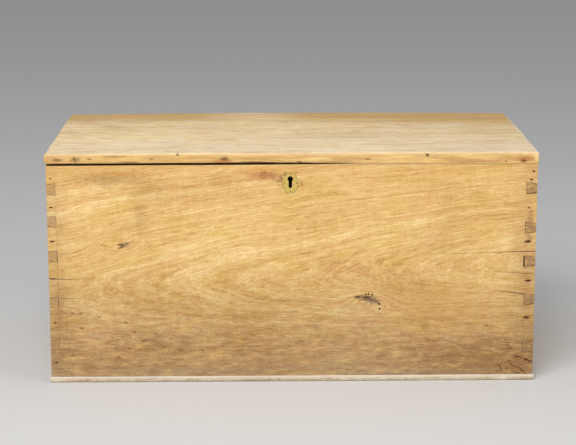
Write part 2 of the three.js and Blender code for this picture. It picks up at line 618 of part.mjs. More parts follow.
// The bail hangs straight down: in along both lugs, down both arms and across the grip.
function bailPath(pivot) {
  const arm = BAIL_WIDTH / 2;
  const inner = LUG_SPREAD / 2 - LUG_WIDTH / 2 - BAIL_END_PROUD;
  const foot = HANDLE_Z - BAIL_DROP;
  const at = (y, z) => new THREE.Vector3(pivot, y, z);
  const path = new THREE.CurvePath();
  const corner = (a, b, c) => path.add(new THREE.QuadraticBezierCurve3(a, b, c));
  const run = (a, b) => path.add(new THREE.LineCurve3(a, b));
  run(at(-inner, HANDLE_Z), at(-arm + BAIL_TOP_BEND, HANDLE_Z));
  corner(at(-arm + BAIL_TOP_BEND, HANDLE_Z), at(-arm, HANDLE_Z), at(-arm, HANDLE_Z - BAIL_TOP_BEND));
  run(at(-arm, HANDLE_Z - BAIL_TOP_BEND), at(-arm, foot + BAIL_FOOT_BEND));
  corner(at(-arm, foot + BAIL_FOOT_BEND), at(-arm, foot), at(-arm + BAIL_FOOT_BEND, foot));
  run(at(-arm + BAIL_FOOT_BEND, foot), at(arm - BAIL_FOOT_BEND, foot));
  corner(at(arm - BAIL_FOOT_BEND, foot), at(arm, foot), at(arm, foot + BAIL_FOOT_BEND));
  run(at(arm, foot + BAIL_FOOT_BEND), at(arm, HANDLE_Z - BAIL_TOP_BEND));
  corner(at(arm, HANDLE_Z - BAIL_TOP_BEND), at(arm, HANDLE_Z), at(arm - BAIL_TOP_BEND, HANDLE_Z));
  run(at(arm - BAIL_TOP_BEND, HANDLE_Z), at(inner, HANDLE_Z));
  return path;
}

function handleBail(side) {
  const pivot = side * BAIL_AXIS_X;
  const ring = Array.from({ length: BAIL_SIDES }, (_, step) => {
    const angle = (2 * Math.PI * step) / BAIL_SIDES;
    return [BAIL_RADIUS * Math.cos(angle), BAIL_RADIUS * Math.sin(angle)];
  });
  const options = { steps: BAIL_STEPS, extrudePath: bailPath(pivot) };
  const rod = solidOf(new THREE.ExtrudeGeometry(polygon(ring), options));
  // The grip swells towards its middle along half a cosine.
  const swell = Array.from({ length: 2 * ROUND_STEPS + 1 }, (_, i) => {
    const share = i / ROUND_STEPS - 1;
    const radius = BAIL_RADIUS + (GRIP_RADIUS - BAIL_RADIUS) * Math.cos((share * Math.PI) / 2);
    return new THREE.Vector2(radius, (share * GRIP_LENGTH) / 2);
  });
  const ends = [-1, 1].map((end) => new THREE.Vector2(0, (end * GRIP_LENGTH) / 2));
  const grip = new THREE.LatheGeometry([ends[0], ...swell, ends[1]], BAIL_SIDES);
  return rod.add(solidOf(grip.translate(pivot, 0, HANDLE_Z - BAIL_DROP)));
}

for (const [name, side] of Object.entries(HANDLE_SIDES)) {
  const face = side * (BAIL_AXIS_X - HANDLE_PIVOT_STAND_OFF);
  const at = (y, z) => new THREE.Vector3(face, y, HANDLE_Z + z);
  const points = [
    at(-HANDLE_SCREW_SPREAD / 2, HANDLE_SCREW_RISE),
    at(HANDLE_SCREW_SPREAD / 2, HANDLE_SCREW_RISE),
    at(-HANDLE_SCREW_SPREAD / 2, -HANDLE_SCREW_RISE),
    at(HANDLE_SCREW_SPREAD / 2, -HANDLE_SCREW_RISE),
  ];
  const inwards = X_AXIS.clone().multiplyScalar(-side);
  handleScrewHoles[name] = driveScrews(carcase, `${name}_handle_screw`, IRON, points, inwards);
  addPiece(carcase, `${name}_handle_plate`, handlePlate(side, handleScrewHoles[name]), IRON);
  addPiece(handles[name], `${name}_handle_bail`, handleBail(side), IRON);
}

// Carcase boards
function sideBoard(facing) {
  const y = [facing * SIDE_FACE, facing * INNER_Y].sort((a, b) => a - b);
  const plank = block([-END_FACE, END_FACE], y, [WALL_FOOT, RIM]);
  return cut(plank, [...pinSockets(facing), ...tillHousings]);
}

function frontBoard() {
  const room = FIT_GAP;
  const mortise = block(
    grown(LOCK_SHELL_X, room),
    [LOCK_FRONT - room, LOCK_BACK + OVERRUN],
    [LOCK_SHELL_Z[0] - room, RIM + OVERRUN],
  );
  const plateSeat = block(
    grown(LOCK_X, room),
    [LOCK_INSIDE - room, LOCK_BACK + OVERRUN],
    [LOCK_Z[0] - room, RIM + OVERRUN],
  );
  const topEdgeSeat = block(
    grown(LOCK_X, room),
    [LOCK_FRONT - room, LOCK_BACK + OVERRUN],
    [RIM - LOCK_PLATE_THICKNESS - room, RIM + OVERRUN],
  );
  const ovalSeatY = [-SIDE_FACE - OVERRUN, -SIDE_FACE + ESCUTCHEON_LET_IN + room];
  const ovalSeat = prism(ovalOutline(room), "y", ovalSeatY, OVAL_STEPS);
  const lockHole = keyhole(KEYHOLE_ROOM, [-SIDE_FACE - OVERRUN, LOCK_FRONT]);
  return cut(sideBoard(-1), [mortise, plateSeat, topEdgeSeat, ovalSeat, lockHole, ...lockScrewHoles]);
}

function backBoard() {
  const seats = Object.values(HINGE_X).flatMap((centre) => [
    leafSeat(centre, [LOWER_LEAF_Z[0] - FIT_GAP, RIM + OVERRUN], FIT_GAP),
    knuckleSeat(centre),
  ]);
  return cut(sideBoard(1), [...seats, ...leafHoles.lower]);
}

function endBoard(name, side) {
  const x = [side * END_FACE, side * INNER_X[side]].sort((a, b) => a - b);
  const shoulder = INNER_Y - FIT_GAP;
  const plank = block(x, [-shoulder, shoulder], [WALL_FOOT, RIM]);
  const pins = PIN_SHARES[side].map((share) =>
    prism(pinOutline(side, share, 0), "y", [-SIDE_FACE, SIDE_FACE]),
  );
  return cut(join([plank, ...pins]), [...tillHousings, ...handleScrewHoles[name]]);
}

addPiece(carcase, "front_board", frontBoard(), CAMPHOR);
addPiece(carcase, "back_board", backBoard(), CAMPHOR);
addPiece(carcase, "left_end_board", endBoard("left", -1), CAMPHOR);
addPiece(carcase, "right_end_board", endBoard("right", 1), CAMPHOR);

// Bottom: two boards side by side, rounded where they stand proud of the walls
const bottomEnds = prism(
  easedOutline(
    grown([-END_FACE, END_FACE], BOTTOM_OVERHANG),
    [0, BOTTOM_THICKNESS],
    BOTTOM_FOOT_ROUND,
    BOTTOM_TOP_ROUND,
  ),
  "y",
  grown([-SIDE_FACE, SIDE_FACE], BOTTOM_OVERHANG),
);
const bottomSides = prism(
  easedOutline(
    grown([-SIDE_FACE, SIDE_FACE], BOTTOM_OVERHANG),
    [0, BOTTOM_THICKNESS],
    BOTTOM_FOOT_ROUND,
    BOTTOM_TOP_ROUND,
  ),
  "x",
  grown([-END_FACE, END_FACE], BOTTOM_OVERHANG),
);
const bottomWhole = bottomEnds.intersect(bottomSides);
const BOTTOM_SEAM_Y = span(-SIDE_FACE + BOTTOM_FRONT_WIDTH, FIT_GAP);
const bottomPart = (y) => {
  const x = grown([-END_FACE, END_FACE], BOTTOM_OVERHANG + OVERRUN);
  return bottomWhole.intersect(block(x, y, [0, BOTTOM_THICKNESS]));
};
const bottomReach = SIDE_FACE + BOTTOM_OVERHANG + OVERRUN;
addPiece(carcase, "bottom_board_front", bottomPart([-bottomReach, BOTTOM_SEAM_Y[0]]), PALE_WOOD);
addPiece(carcase, "bottom_board_back", bottomPart([BOTTOM_SEAM_Y[1], bottomReach]), PALE_WOOD);

// Till: a side across the chest with an eased top edge, and a floor in its grooves
const tillFloorSeat = block(
  [TILL_SIDE_X[0] - OVERRUN, TILL_FLOOR_X[1] + FIT_GAP],
  grown(TILL_LENGTH_Y, OVERRUN),
  grown(TILL_FLOOR_Z, FIT_GAP),
);
const tillSide = prism(easedOutline(TILL_SIDE_X, TILL_SIDE_Z, 0, TILL_EDGE_ROUND), "y", TILL_LENGTH_Y);
addPiece(carcase, "till_side", cut(tillSide, [tillFloorSeat]), TILL_WOOD);
addPiece(carcase, "till_floor", block(TILL_FLOOR_X, TILL_LENGTH_Y, TILL_FLOOR_Z), TILL_WOOD);

// Lid
const LID_X = grown([-END_FACE, END_FACE], LID_END_OVERHANG);
const LID_Y = grown([-SIDE_FACE, SIDE_FACE], LID_SIDE_OVERHANG);
const LID_Z = [LID_FOOT, CHEST_HEIGHT];
function lidBoard() {
  const lengthwise = prism(easedOutline(LID_Y, LID_Z, LID_FOOT_ROUND, LID_TOP_ROUND), "x", LID_X);
  const crosswise = prism(easedOutline(LID_X, LID_Z, LID_FOOT_ROUND, LID_TOP_ROUND), "y", LID_Y);
  const hingeSeats = Object.values(HINGE_X).flatMap((centre) => [
    leafSeat(centre, [LID_FOOT - OVERRUN, UPPER_LEAF_Z[1] + FIT_GAP], FIT_GAP),
    knuckleSeat(centre),
  ]);
  const linkSeat = block(
    grown(LINK_PLATE_X, FIT_GAP),
    grown(LINK_PLATE_Y, FIT_GAP),
    [LID_FOOT - OVERRUN, LINK_PLATE_Z[1] + FIT_GAP],
  );
  return cut(lengthwise.intersect(crosswise), [
    ...hingeSeats,
    linkSeat,
    ...leafHoles.upper,
    ...linkScrewHoles,
  ]);
}
addPiece(lid, "lid_board", lidBoard(), CAMPHOR);

function lidBatten(centre) {
  const [low, high] = [LID_FOOT - FIT_GAP - BATTEN_THICKNESS, LID_FOOT - FIT_GAP];
  const [left, right] = span(centre, BATTEN_WIDTH);
  const reach = INNER_Y - BATTEN_END_GAP;
  const section = polygon([
    [left + BATTEN_CHAMFER, low],
    [right - BATTEN_CHAMFER, low],
    [right, low + BATTEN_CHAMFER],
    [right, high],
    [left, high],
    [left, low + BATTEN_CHAMFER],
  ]);
  const sidelong = polygon([
    [-reach + BATTEN_END_SLOPE, low],
    [reach - BATTEN_END_SLOPE, low],
    [reach, (low + high) / 2],
    [reach, high],
    [-reach, high],
    [-reach, (low + high) / 2],
  ]);
  return prism(section, "y", [-reach, reach]).intersect(prism(sidelong, "x", [left, right]));
}
addPiece(lid, "lid_batten_left", lidBatten(-END_FACE + BATTEN_INSET), CAMPHOR);
addPiece(lid, "lid_batten_right", lidBatten(END_FACE - BATTEN_INSET), CAMPHOR);

// Lock and escutcheon
addPiece(carcase, "lock_plate", lockPlate(), BRASS);
addPiece(carcase, "lock_shell", lockShell(), BRASS);
addPiece(bolt, "lock_bolt", lockBolt(), STEEL);
addPiece(bolt, "bolt_spring", boltSpring(), STEEL);
const KEY_PIN_Y = [LOCK_INSIDE - FIT_GAP - KEY_PIN_LENGTH, LOCK_INSIDE - FIT_GAP];
addPiece(carcase, "key_pin", bar("y", KEY_PIN_Y, LOCK_OFFSET, KEY_Z, KEY_PIN_RADIUS), STEEL);
addPiece(carcase, "lock_ward", lockWard(), STEEL);
addPiece(lid, "link_plate", linkPlate(), BRASS);

const ESCUTCHEON_Y = [
  -SIDE_FACE + ESCUTCHEON_LET_IN - ESCUTCHEON_THICKNESS,
  -SIDE_FACE + ESCUTCHEON_LET_IN,
];
const escutcheon = cut(prism(ovalOutline(0), "y", ESCUTCHEON_Y, OVAL_STEPS), [
  keyhole(0, grown(ESCUTCHEON_Y, OVERRUN)),
]);
addPiece(carcase, "escutcheon", escutcheon, BRASS);

export default chest;
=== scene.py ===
# %% [markdown]
# # An old sea chest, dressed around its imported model
#
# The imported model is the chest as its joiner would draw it: real sizes, real joints, sharp edges and one
# flat colour for each board. This script keeps every size and gives the chest its looks: softened and
# worn edges, wood whose figure runs right through each board, knots and splits, nails, dulled brass and
# black iron. Lengths are in metres, in the chest's own frame: +X to the right, the front faces -Y, +Z up.

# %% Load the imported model
import json
import math

import bmesh
import bpy
from mathutils import Matrix, Vector, noise


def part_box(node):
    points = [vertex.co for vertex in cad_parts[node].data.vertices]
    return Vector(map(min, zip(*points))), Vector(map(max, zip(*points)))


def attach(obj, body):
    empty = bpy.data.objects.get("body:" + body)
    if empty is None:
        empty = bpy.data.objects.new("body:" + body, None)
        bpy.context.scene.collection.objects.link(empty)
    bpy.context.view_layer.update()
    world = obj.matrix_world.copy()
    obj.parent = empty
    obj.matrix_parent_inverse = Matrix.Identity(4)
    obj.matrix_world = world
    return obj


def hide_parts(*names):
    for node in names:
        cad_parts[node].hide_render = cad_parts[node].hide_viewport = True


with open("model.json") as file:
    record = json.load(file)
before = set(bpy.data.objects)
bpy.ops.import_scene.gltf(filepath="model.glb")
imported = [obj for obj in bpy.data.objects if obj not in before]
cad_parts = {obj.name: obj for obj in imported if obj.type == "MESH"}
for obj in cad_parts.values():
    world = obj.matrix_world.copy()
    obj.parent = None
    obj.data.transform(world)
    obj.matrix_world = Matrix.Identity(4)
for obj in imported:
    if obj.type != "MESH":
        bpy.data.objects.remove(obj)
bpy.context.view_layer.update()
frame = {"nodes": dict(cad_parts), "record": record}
MM = 0.001

# %% [markdown]
# ## The faces that everything is placed from
#
# A box around one node gives the level or the face that its neighbours share. Reading these once, and
# naming them in a joiner's words, keeps the later cells free of repeated lookups.

# %% Levels and faces
front_low, front_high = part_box("front_board")
end_low, end_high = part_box("right_end_board")
lid_low, lid_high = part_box("lid_board")
FRONT_FACE = front_low.y
FRONT_INSIDE = front_high.y
BACK_FACE = -FRONT_FACE
END_FACE = front_high.x
END_INSIDE = end_low.x
WALL_FOOT = front_low.z
RIM = front_high.z
LID_FOOT = lid_low.z
LID_TOP = lid_high.z
BOARD = FRONT_INSIDE - FRONT_FACE
print("boards", round(BOARD / MM, 1), "mm, rim at", round(RIM / MM, 1), "mm")
print("lid's top at", round(LID_TOP / MM, 1), "mm")

# %% [markdown]
# ## The studio
#
# The chest stands on a plain pale floor. Two large soft lamps and an even sky light it, so that a colour
# renders about as it is written. The camera is long and level-headed, like the one that took the
# photograph: far back, a little to the left of the middle and about twelve degrees above the lid.

# %% Floor, lamps, sky and camera
FLOOR_SIZE = 60.0
FLOOR_GREY = 0.62
SKY_GREY = 0.62
SKY_STRENGTH = 0.62
KEY_PLACE, KEY_SIZE, KEY_POWER = Vector((-1.2, -3.4, 3.6)), 3.2, 205.0
FILL_PLACE, FILL_SIZE, FILL_POWER = Vector((3.4, -2.6, 1.9)), 2.6, 52.0
CAMERA_PLACE = Vector((-0.0642, FRONT_FACE - 3.6045, 1.1117))
CAMERA_YAW, CAMERA_PITCH, CAMERA_ROLL = 0.897, 12.12, 0.077
CAMERA_LENS, CAMERA_SENSOR = 112.8, 36.0


def new_material(name):
    """A fresh material, its tree of nodes, and the node that is its surface."""
    made = bpy.data.materials.new(name)
    made.use_nodes = True
    return made, made.node_tree, made.node_tree.nodes["Principled BSDF"]


def lamp(name, place, size, power, target):
    """A square soft lamp that looks at a point."""
    light = bpy.data.lights.new(name, "AREA")
    light.shape, light.size, light.energy = "SQUARE", size, power
    made = bpy.data.objects.new(name, light)
    made.location = place
    made.rotation_euler = (target - place).to_track_quat("-Z", "Y").to_euler()
    bpy.context.scene.collection.objects.link(made)
    return made


floor_mesh = bmesh.new()
bmesh.ops.create_grid(floor_mesh, x_segments=1, y_segments=1, size=FLOOR_SIZE)
floor_data = bpy.data.meshes.new("floor")
floor_mesh.to_mesh(floor_data)
floor_mesh.free()
floor = bpy.data.objects.new("floor", floor_data)
floor_material, floor_tree, floor_surface = new_material("pale floor")
floor_surface.inputs["Base Color"].default_value = (FLOOR_GREY,) * 3 + (1.0,)
floor_surface.inputs["Roughness"].default_value = 0.85
floor.data.materials.append(floor_material)
bpy.context.scene.collection.objects.link(floor)

middle = Vector((0.0, 0.0, RIM / 2))
lamp("key", KEY_PLACE, KEY_SIZE, KEY_POWER, middle)
lamp("fill", FILL_PLACE, FILL_SIZE, FILL_POWER, middle)

sky = bpy.data.worlds.new("sky")
sky.use_nodes = True
sky.node_tree.nodes["Background"].inputs["Color"].default_value = (SKY_GREY,) * 3 + (1.0,)
sky.node_tree.nodes["Background"].inputs["Strength"].default_value = SKY_STRENGTH
bpy.context.scene.world = sky
bpy.context.scene.view_settings.view_transform = "Standard"

camera_data = bpy.data.cameras.new("camera")
camera_data.lens, camera_data.sensor_width = CAMERA_LENS, CAMERA_SENSOR
camera_data.clip_end = 2 * FLOOR_SIZE
camera = bpy.data.objects.new("camera", camera_data)
camera.location = CAMERA_PLACE
camera.rotation_euler = (
    math.radians(90.0 - CAMERA_PITCH),
    math.radians(CAMERA_ROLL),
    math.radians(-CAMERA_YAW),
)
bpy.context.scene.collection.objects.link(camera)
bpy.context.scene.camera = camera
print("camera", [round(value, 3) for value in CAMERA_PLACE], "lens", CAMERA_LENS)

# %% [markdown]
# ## Short words for node trees
#
# A material is a small program of nodes. These helpers add one node at a time and hand back the socket
# to use next, so that a finish below reads from top to bottom like a recipe. A socket knows the tree that
# it belongs to, so only a node without a linked input has to be told where to go.


# %% Helpers for materials
def tone(red, green, blue):
    """A colour as the eye reads it, 0 to 255, as the linear numbers that nodes use."""

    def linear(value):
        share = value / 255
        return share / 12.92 if share <= 0.04045 else ((share + 0.055) / 1.055) ** 2.4

    return (linear(red), linear(green), linear(blue), 1.0)


def put(kind, inputs, tree=None, **settings):
    """Adds a node, sets its options, and fills or links its inputs."""
    tree = tree or next(value.id_data for value in inputs.values() if isinstance(value, bpy.types.NodeSocket))
    made = tree.nodes.new("ShaderNode" + kind)
    for name, value in settings.items():
        setattr(made, name, value)
    for name, value in inputs.items():
        if isinstance(value, bpy.types.NodeSocket):
            tree.links.new(value, made.inputs[name])
        else:
            made.inputs[name].default_value = value
    return made


def maths(operation, *terms):
    """One sum on numbers or sockets."""
    return put("Math", dict(enumerate(terms)), operation=operation).outputs[0]


def times(first, *others):
    """The product of two or more shares."""
    for other in others:
        first = maths("MULTIPLY", first, other)
    return first


def vector_maths(operation, *terms, output=0):
    """One sum on vectors."""
    return put("VectorMath", dict(enumerate(terms)), operation=operation).outputs[output]


def mixed(share, first, second, blend_type="MIX"):
    """Two colours, mixed by a share from 0 to 1."""
    inputs = {0: share, 6: first, 7: second}
    return put("Mix", inputs, data_type="RGBA", blend_type=blend_type).outputs[2]


def between(value, low, high, to_low=0.0, to_high=1.0):
    """Stretches the span from low to high over 0 to 1 with soft ends."""
    inputs = {"Value": value, "From Min": low, "From Max": high, "To Min": to_low, "To Max": to_high}
    return put("MapRange", inputs, interpolation_type="SMOOTHSTEP", clamp=False).outputs[0]


def noise_at(where, scale, detail=2.0, roughness=0.5):
    """Cloudy noise, about 0.5 on average, whose size can differ along each axis."""
    stretched = put("Mapping", {"Vector": where, "Scale": scale}).outputs[0]
    inputs = {"Vector": stretched, "Scale": 1.0, "Detail": detail, "Roughness": roughness}
    return put("TexNoise", inputs).outputs[0]


def parts(vector):
    """The three numbers of a vector."""
    return put("SeparateXYZ", {"Vector": vector}).outputs


def ellipse_distance(where, centre, reach, turn=0.0):
    """0 in the middle of an ellipse on an upright face, 1 at its border, never more than 2."""
    doubled = [2.0 * value for value in reach]
    inputs = {"Vector": where, "Location": centre, "Rotation": (0.0, turn, 0.0), "Scale": doubled}
    placed = put("Mapping", inputs, vector_type="TEXTURE").outputs[0]
    near = put("TexGradient", {"Vector": placed}, gradient_type="SPHERICAL").outputs[1]
    return maths("MULTIPLY_ADD", near, -2.0, 2.0)


# %% [markdown]
# ## Wood that is solid all through
#
# A plank is a slice of a trunk, so its figure is the trunk's growth rings cut by the plank's faces. The
# material works the same way: each point is turned into the trunk's own coordinates, its distance from
# the pith gives the ring that it lies in, and a leaning pith makes the nested arches that a flat-sawn
# board shows. Fine fibres, pores and slow changes of colour are laid over the rings. Because all of it is
# worked out from the point in space, the front of a board, its edges and its end grain agree.

# %% The recipe for wood
RING_WANDER = 0.020  # how far the rings stray from true circles
BROAD_RINGS = 60.0  # zones of growth in a metre
FINE_RINGS = 300.0  # single years in a metre
RAGGED = (90.0, 90.0, 220.0)  # how the borders of stains break up
BAND = (3.0, 110.0, 3.0)  # slow bands that follow the rings
STREAK = (24.0, 760.0, 230.0)  # dashes, long with the fibres and thin across the rings
DASH = (36.0, 330.0, 110.0)  # short brown marks, a few millimetres thick
FLECK = (70.0, 1300.0, 500.0)  # open pores
GRIT = (420.0, 420.0, 420.0)  # the finest mottling
RIPPLE = (95.0, 95.0, 22.0)  # faint marks that stand across the fibres
CLOUD = (4.0, 4.0, 7.0)  # slow changes from pale to dark
HUE = (14.0, 14.0, 34.0)  # slow changes of tint
SLOW_SWAY = (1.6, 5.0, 5.0)  # the long bends of the rings
QUICK_SWAY = (8.0, 34.0, 34.0)  # and their short ones
DARK_TO_HONEY, HONEY_TO_PALE = (0.05, 0.55), (0.45, 0.95)  # where each colour gives way to the next
PATCH_DEPTH = 0.06  # how far a stain reaches into the board
OLIVE_TINT = tone(250, 249, 232)  # sapwood and wax drift a little towards olive
PINK_TINT = tone(255, 248, 250)  # or towards pink


def trunk_of(position, pith, lean):
    """A point in the trunk's own coordinates, with X along the pith."""
    inputs = {"Vector": position, "Location": pith, "Rotation": lean}
    return put("Mapping", inputs, vector_type="TEXTURE").outputs[0]


def ring_distance(trunk):
    """The distance from the pith, made to wander as real rings do."""
    flat = vector_maths("MULTIPLY", trunk, (0.0, 1.0, 1.0))
    circle = vector_maths("LENGTH", flat, output=1)
    slow = noise_at(trunk, SLOW_SWAY, detail=2.0)
    quick = noise_at(trunk, QUICK_SWAY, detail=3.0)
    swayed = maths("MULTIPLY_ADD", maths("SUBTRACT", slow, 0.5), 2 * RING_WANDER, circle)
    return maths("MULTIPLY_ADD", maths("SUBTRACT", quick, 0.5), 0.35 * RING_WANDER, swayed)


def rings(distance, per_metre, detail):
    """Growth rings of uneven width: noise that depends on the distance alone."""
    inputs = {"W": distance, "Scale": per_metre, "Detail": detail, "Roughness": 0.6}
    return put("TexNoise", inputs, noise_dimensions="1D").outputs[0]


def end_grain(tree, along):
    """1 where a face is sawn across the fibres. Along is 0 for X, 1 for Y."""
    normal = put("TexCoord", {}, tree).outputs["Normal"]
    facing = maths("ABSOLUTE", parts(normal)[along])
    return between(facing, 0.6, 0.95)


class Wood:
    """The sockets of one wood while it is being mixed."""

    def __init__(self, name, pith, lean, tones, along=0, figure=1.0, grit=1.0, eyes=()):
        self.material, self.tree, self.surface = new_material(name)
        tree = self.tree
        self.position = put("TexCoord", {}, tree).outputs["Object"]
        trunk = trunk_of(self.position, pith, lean)
        distance = ring_distance(trunk)
        for centre, reach, push in eyes:
            away = ellipse_distance(self.position, centre, reach)
            pushed = times(between(away, 1.0, 0.0), push)
            distance = maths("ADD", distance, pushed)
        along_trunk, side, up = parts(trunk)
        around = maths("SUBTRACT", side, up)
        grown = put("CombineXYZ", {0: along_trunk, 1: distance, 2: around}).outputs[0]
        self.broad = rings(distance, BROAD_RINGS, 3.0)
        self.fine = rings(distance, FINE_RINGS, 2.0)
        self.band = noise_at(grown, BAND, detail=3.0, roughness=0.6)
        self.streak = noise_at(grown, STREAK, detail=3.0, roughness=0.7)
        self.dash = noise_at(grown, DASH, detail=3.0, roughness=0.7)
        self.fleck = noise_at(grown, FLECK, detail=1.0)
        self.grit = noise_at(self.position, GRIT, detail=3.0, roughness=0.7)
        self.ripple = noise_at(self.position, RIPPLE, detail=3.0, roughness=0.6)
        self.cloud = noise_at(self.position, CLOUD, detail=4.0, roughness=0.62)
        self.hue = noise_at(self.position, HUE, detail=4.0, roughness=0.62)
        self.torn = noise_at(self.position, RAGGED, detail=3.0, roughness=0.7)
        self.ends = end_grain(tree, along)
        self.colour = self.base_colour(tones, figure, grit)

    def base_colour(self, tones, figure, grit):
        """Dark, middle and pale wood by ring and fibre, then darker end grain and open pores."""
        dark, honey, pale, end = tones
        weights = (
            (self.broad, 0.44 * figure),
            (self.fine, 0.46 * figure),
            (self.band, 0.42 * figure),
            (self.streak, 1.02 * grit),
            (self.dash, 0.85 * grit),
            (self.ripple, 0.28 * grit),
            (self.grit, 0.85 * grit),
            (self.cloud, 0.78),
        )
        share = 0.5
        for pattern, weight in weights:
            share = maths("MULTIPLY_ADD", maths("SUBTRACT", pattern, 0.5), weight, share)
        colour = mixed(between(share, *DARK_TO_HONEY), dark, honey)
        colour = mixed(between(share, *HONEY_TO_PALE), colour, pale)
        colour = mixed(between(self.hue, 0.50, 0.66), colour, OLIVE_TINT, "MULTIPLY")
        colour = mixed(between(self.hue, 0.50, 0.34), colour, PINK_TINT, "MULTIPLY")
        open_pores = between(self.fleck, 0.57, 0.70)
        colour = mixed(times(open_pores, 0.45 * grit), colour, dark)
        mottled_end = mixed(between(self.torn, 0.44, 0.66), end, dark)
        return mixed(times(self.ends, 0.8), colour, mottled_end)

    def stain(self, share, colour, strength=1.0):
        """Lays another colour over the wood where share is 1."""
        self.colour = mixed(times(share, strength), self.colour, colour)

    def wash(self, share, colour, strength=1.0):
        """A thin glaze, for dirt and for painted shade: darkens the wood and lets its figure show through."""
        self.colour = mixed(times(share, strength), self.colour, colour, "MULTIPLY")

    def patch(self, face, x, z, across, up, turn=0.0, ragged=0.5, soft=0.6):
        """1 in a patch on an upright face at y, fading at a ragged border. Sizes are in millimetres."""
        place, reach = (x * MM, face, z * MM), (across * MM, PATCH_DEPTH, up * MM)
        distance = ellipse_distance(self.position, place, reach, math.radians(-turn))
        spread = maths("MULTIPLY_ADD", maths("SUBTRACT", self.torn, 0.5), 2 * ragged, distance)
        return between(spread, 1.0, 1.0 - soft)

    def stain_marks(self, face, marks, ragged, soft):
        """Stains a table of marks. Where marks of one colour overlap, the strongest counts."""
        strongest = {}
        for x_mm, z_mm, across, up, turn, colour, strength in marks:
            patch = self.patch(face, x_mm, z_mm, across, up, turn, ragged, soft)
            share = times(patch, strength)
            if colour in strongest:
                share = maths("MAXIMUM", strongest[colour], share)
            strongest[colour] = share
        for colour, share in strongest.items():
            self.stain(share, colour)

    def crack_dirt_and_shade(self, face, start, levels, half_length):
        """Old dirt and painted shade in everything that is cut into an upright face, between two levels."""
        x, y, z = parts(self.position)
        low, high = levels
        within = (
            between(y, face + start[0] * MM, face + start[1] * MM),
            between(y, face + 12 * MM, face + 9 * MM),
            between(z, low, low + 2 * MM),
            between(z, high, high - 2 * MM),
            between(maths("ABSOLUTE", x), half_length, half_length - 1.5 * MM),
        )
        self.stain(times(*within), CRACK_BLACK, 0.9)

    def finish(self, roughness=(0.42, 0.66), relief=0.35):
        """Waxed and worn: uneven gloss, and fibres and rings that stand up a little."""
        tree = self.tree
        tree.links.new(self.colour, self.surface.inputs["Base Color"])
        gloss = maths("MULTIPLY_ADD", self.streak, 0.5, times(self.cloud, 0.5))
        rough = between(gloss, 0.3, 0.7, *roughness)
        tree.links.new(rough, self.surface.inputs["Roughness"])
        height = maths("MULTIPLY_ADD", self.fine, 0.6, times(self.streak, 0.8))
        height = maths("SUBTRACT", height, times(self.fleck, 0.6))
        bump = put("Bump", {"Height": height, "Strength": relief, "Distance": 0.5 * MM})
        tree.links.new(bump.outputs[0], self.surface.inputs["Normal"])
        self.surface.inputs["Specular IOR Level"].default_value = 0.35
        return self.material


# %% [markdown]
# ## The colours of old camphor wood
#
# The first four are the wood itself: dark, honey and pale fibres, and end grain. The others are what age
# adds to it. A mark is a row of a table, in millimetres right of the middle and above the floor.

# %% Colours and marks
HONEY = (tone(184, 138, 76), tone(215, 175, 108), tone(236, 208, 148), tone(166, 130, 90))
KNOT_BROWN = tone(92, 66, 34)
CRACK_BLACK = tone(44, 30, 18)
KNOT_GREY = tone(122, 94, 72)
DULL = tone(146, 108, 64)
DUST = tone(170, 144, 110)
FOOT_GREY = tone(150, 132, 108)
SOAKED = tone(124, 84, 46)
RUBBED = tone(226, 184, 112)
WARM = tone(196, 138, 66)
REDDISH = tone(168, 104, 62)
SPECK = tone(120, 78, 40)
GLAZE = tone(204, 198, 206)
RUST = tone(112, 66, 40)
GRIME_AND_SHADE_LEVELS = (0.300, 0.02)  # where the grime of the floor and its painted shade begin, and where they are full


def on_front(x, z):
    """A point on the front's face from millimetres right of the middle and above the floor."""
    return Vector((x * MM, FRONT_FACE, z * MM))


def grime_and_shade_low(wood, strength):
    """Grime of the floor and painted shade near it, both fading out upwards."""
    wood.wash(between(parts(wood.position)[2], *GRIME_AND_SHADE_LEVELS), GLAZE, strength)


def rust_halos(nails):
    """A brown ring in the wood round each nail, as marks for a stain."""
    return [(x_mm, z_mm, 1.8 * across, 2.5 * up, 0, RUST, 0.90) for x_mm, z_mm, across, up in nails]


# %% [markdown]
# ## The front board
#
# Its pith lies behind the face and leans towards it to the right, which draws arches with their noses to
# the left. Two knots push the rings aside. On top of the figure come the marks of its life and some painted
# shade: a warmer band under the lid, grime and painted shade along the foot, a rubbed red stain beside the
# keyhole, and a dark ring round the escutcheon that is dirt and a painted shadow.

# %% Figure and grime of the front
front_eyes = (
    # middle, reach and how far the rings are pushed round each knot
    (on_front(-346, 292), (0.060, 0.1, 0.026), 14 * MM),
    (on_front(158, 175), (0.085, 0.1, 0.034), 18 * MM),
)
FRONT_PITH, FRONT_LEAN = (0.0, FRONT_FACE + 0.104, 0.221), (0.0, -0.080, -0.092)
RIM_LEVELS = (0.405, 0.455)  # where the warm band begins, and where it is full
CORNER_REACH = (0.440, 0.500)  # how far from the middle the hands' dirt begins and is full
DUST_LEVELS = (0.070, 0.012)
SOAKED_LEVELS = (0.200, 0.090)
SOAKED_GRAIN = (30.0, 1.0, 105.0)

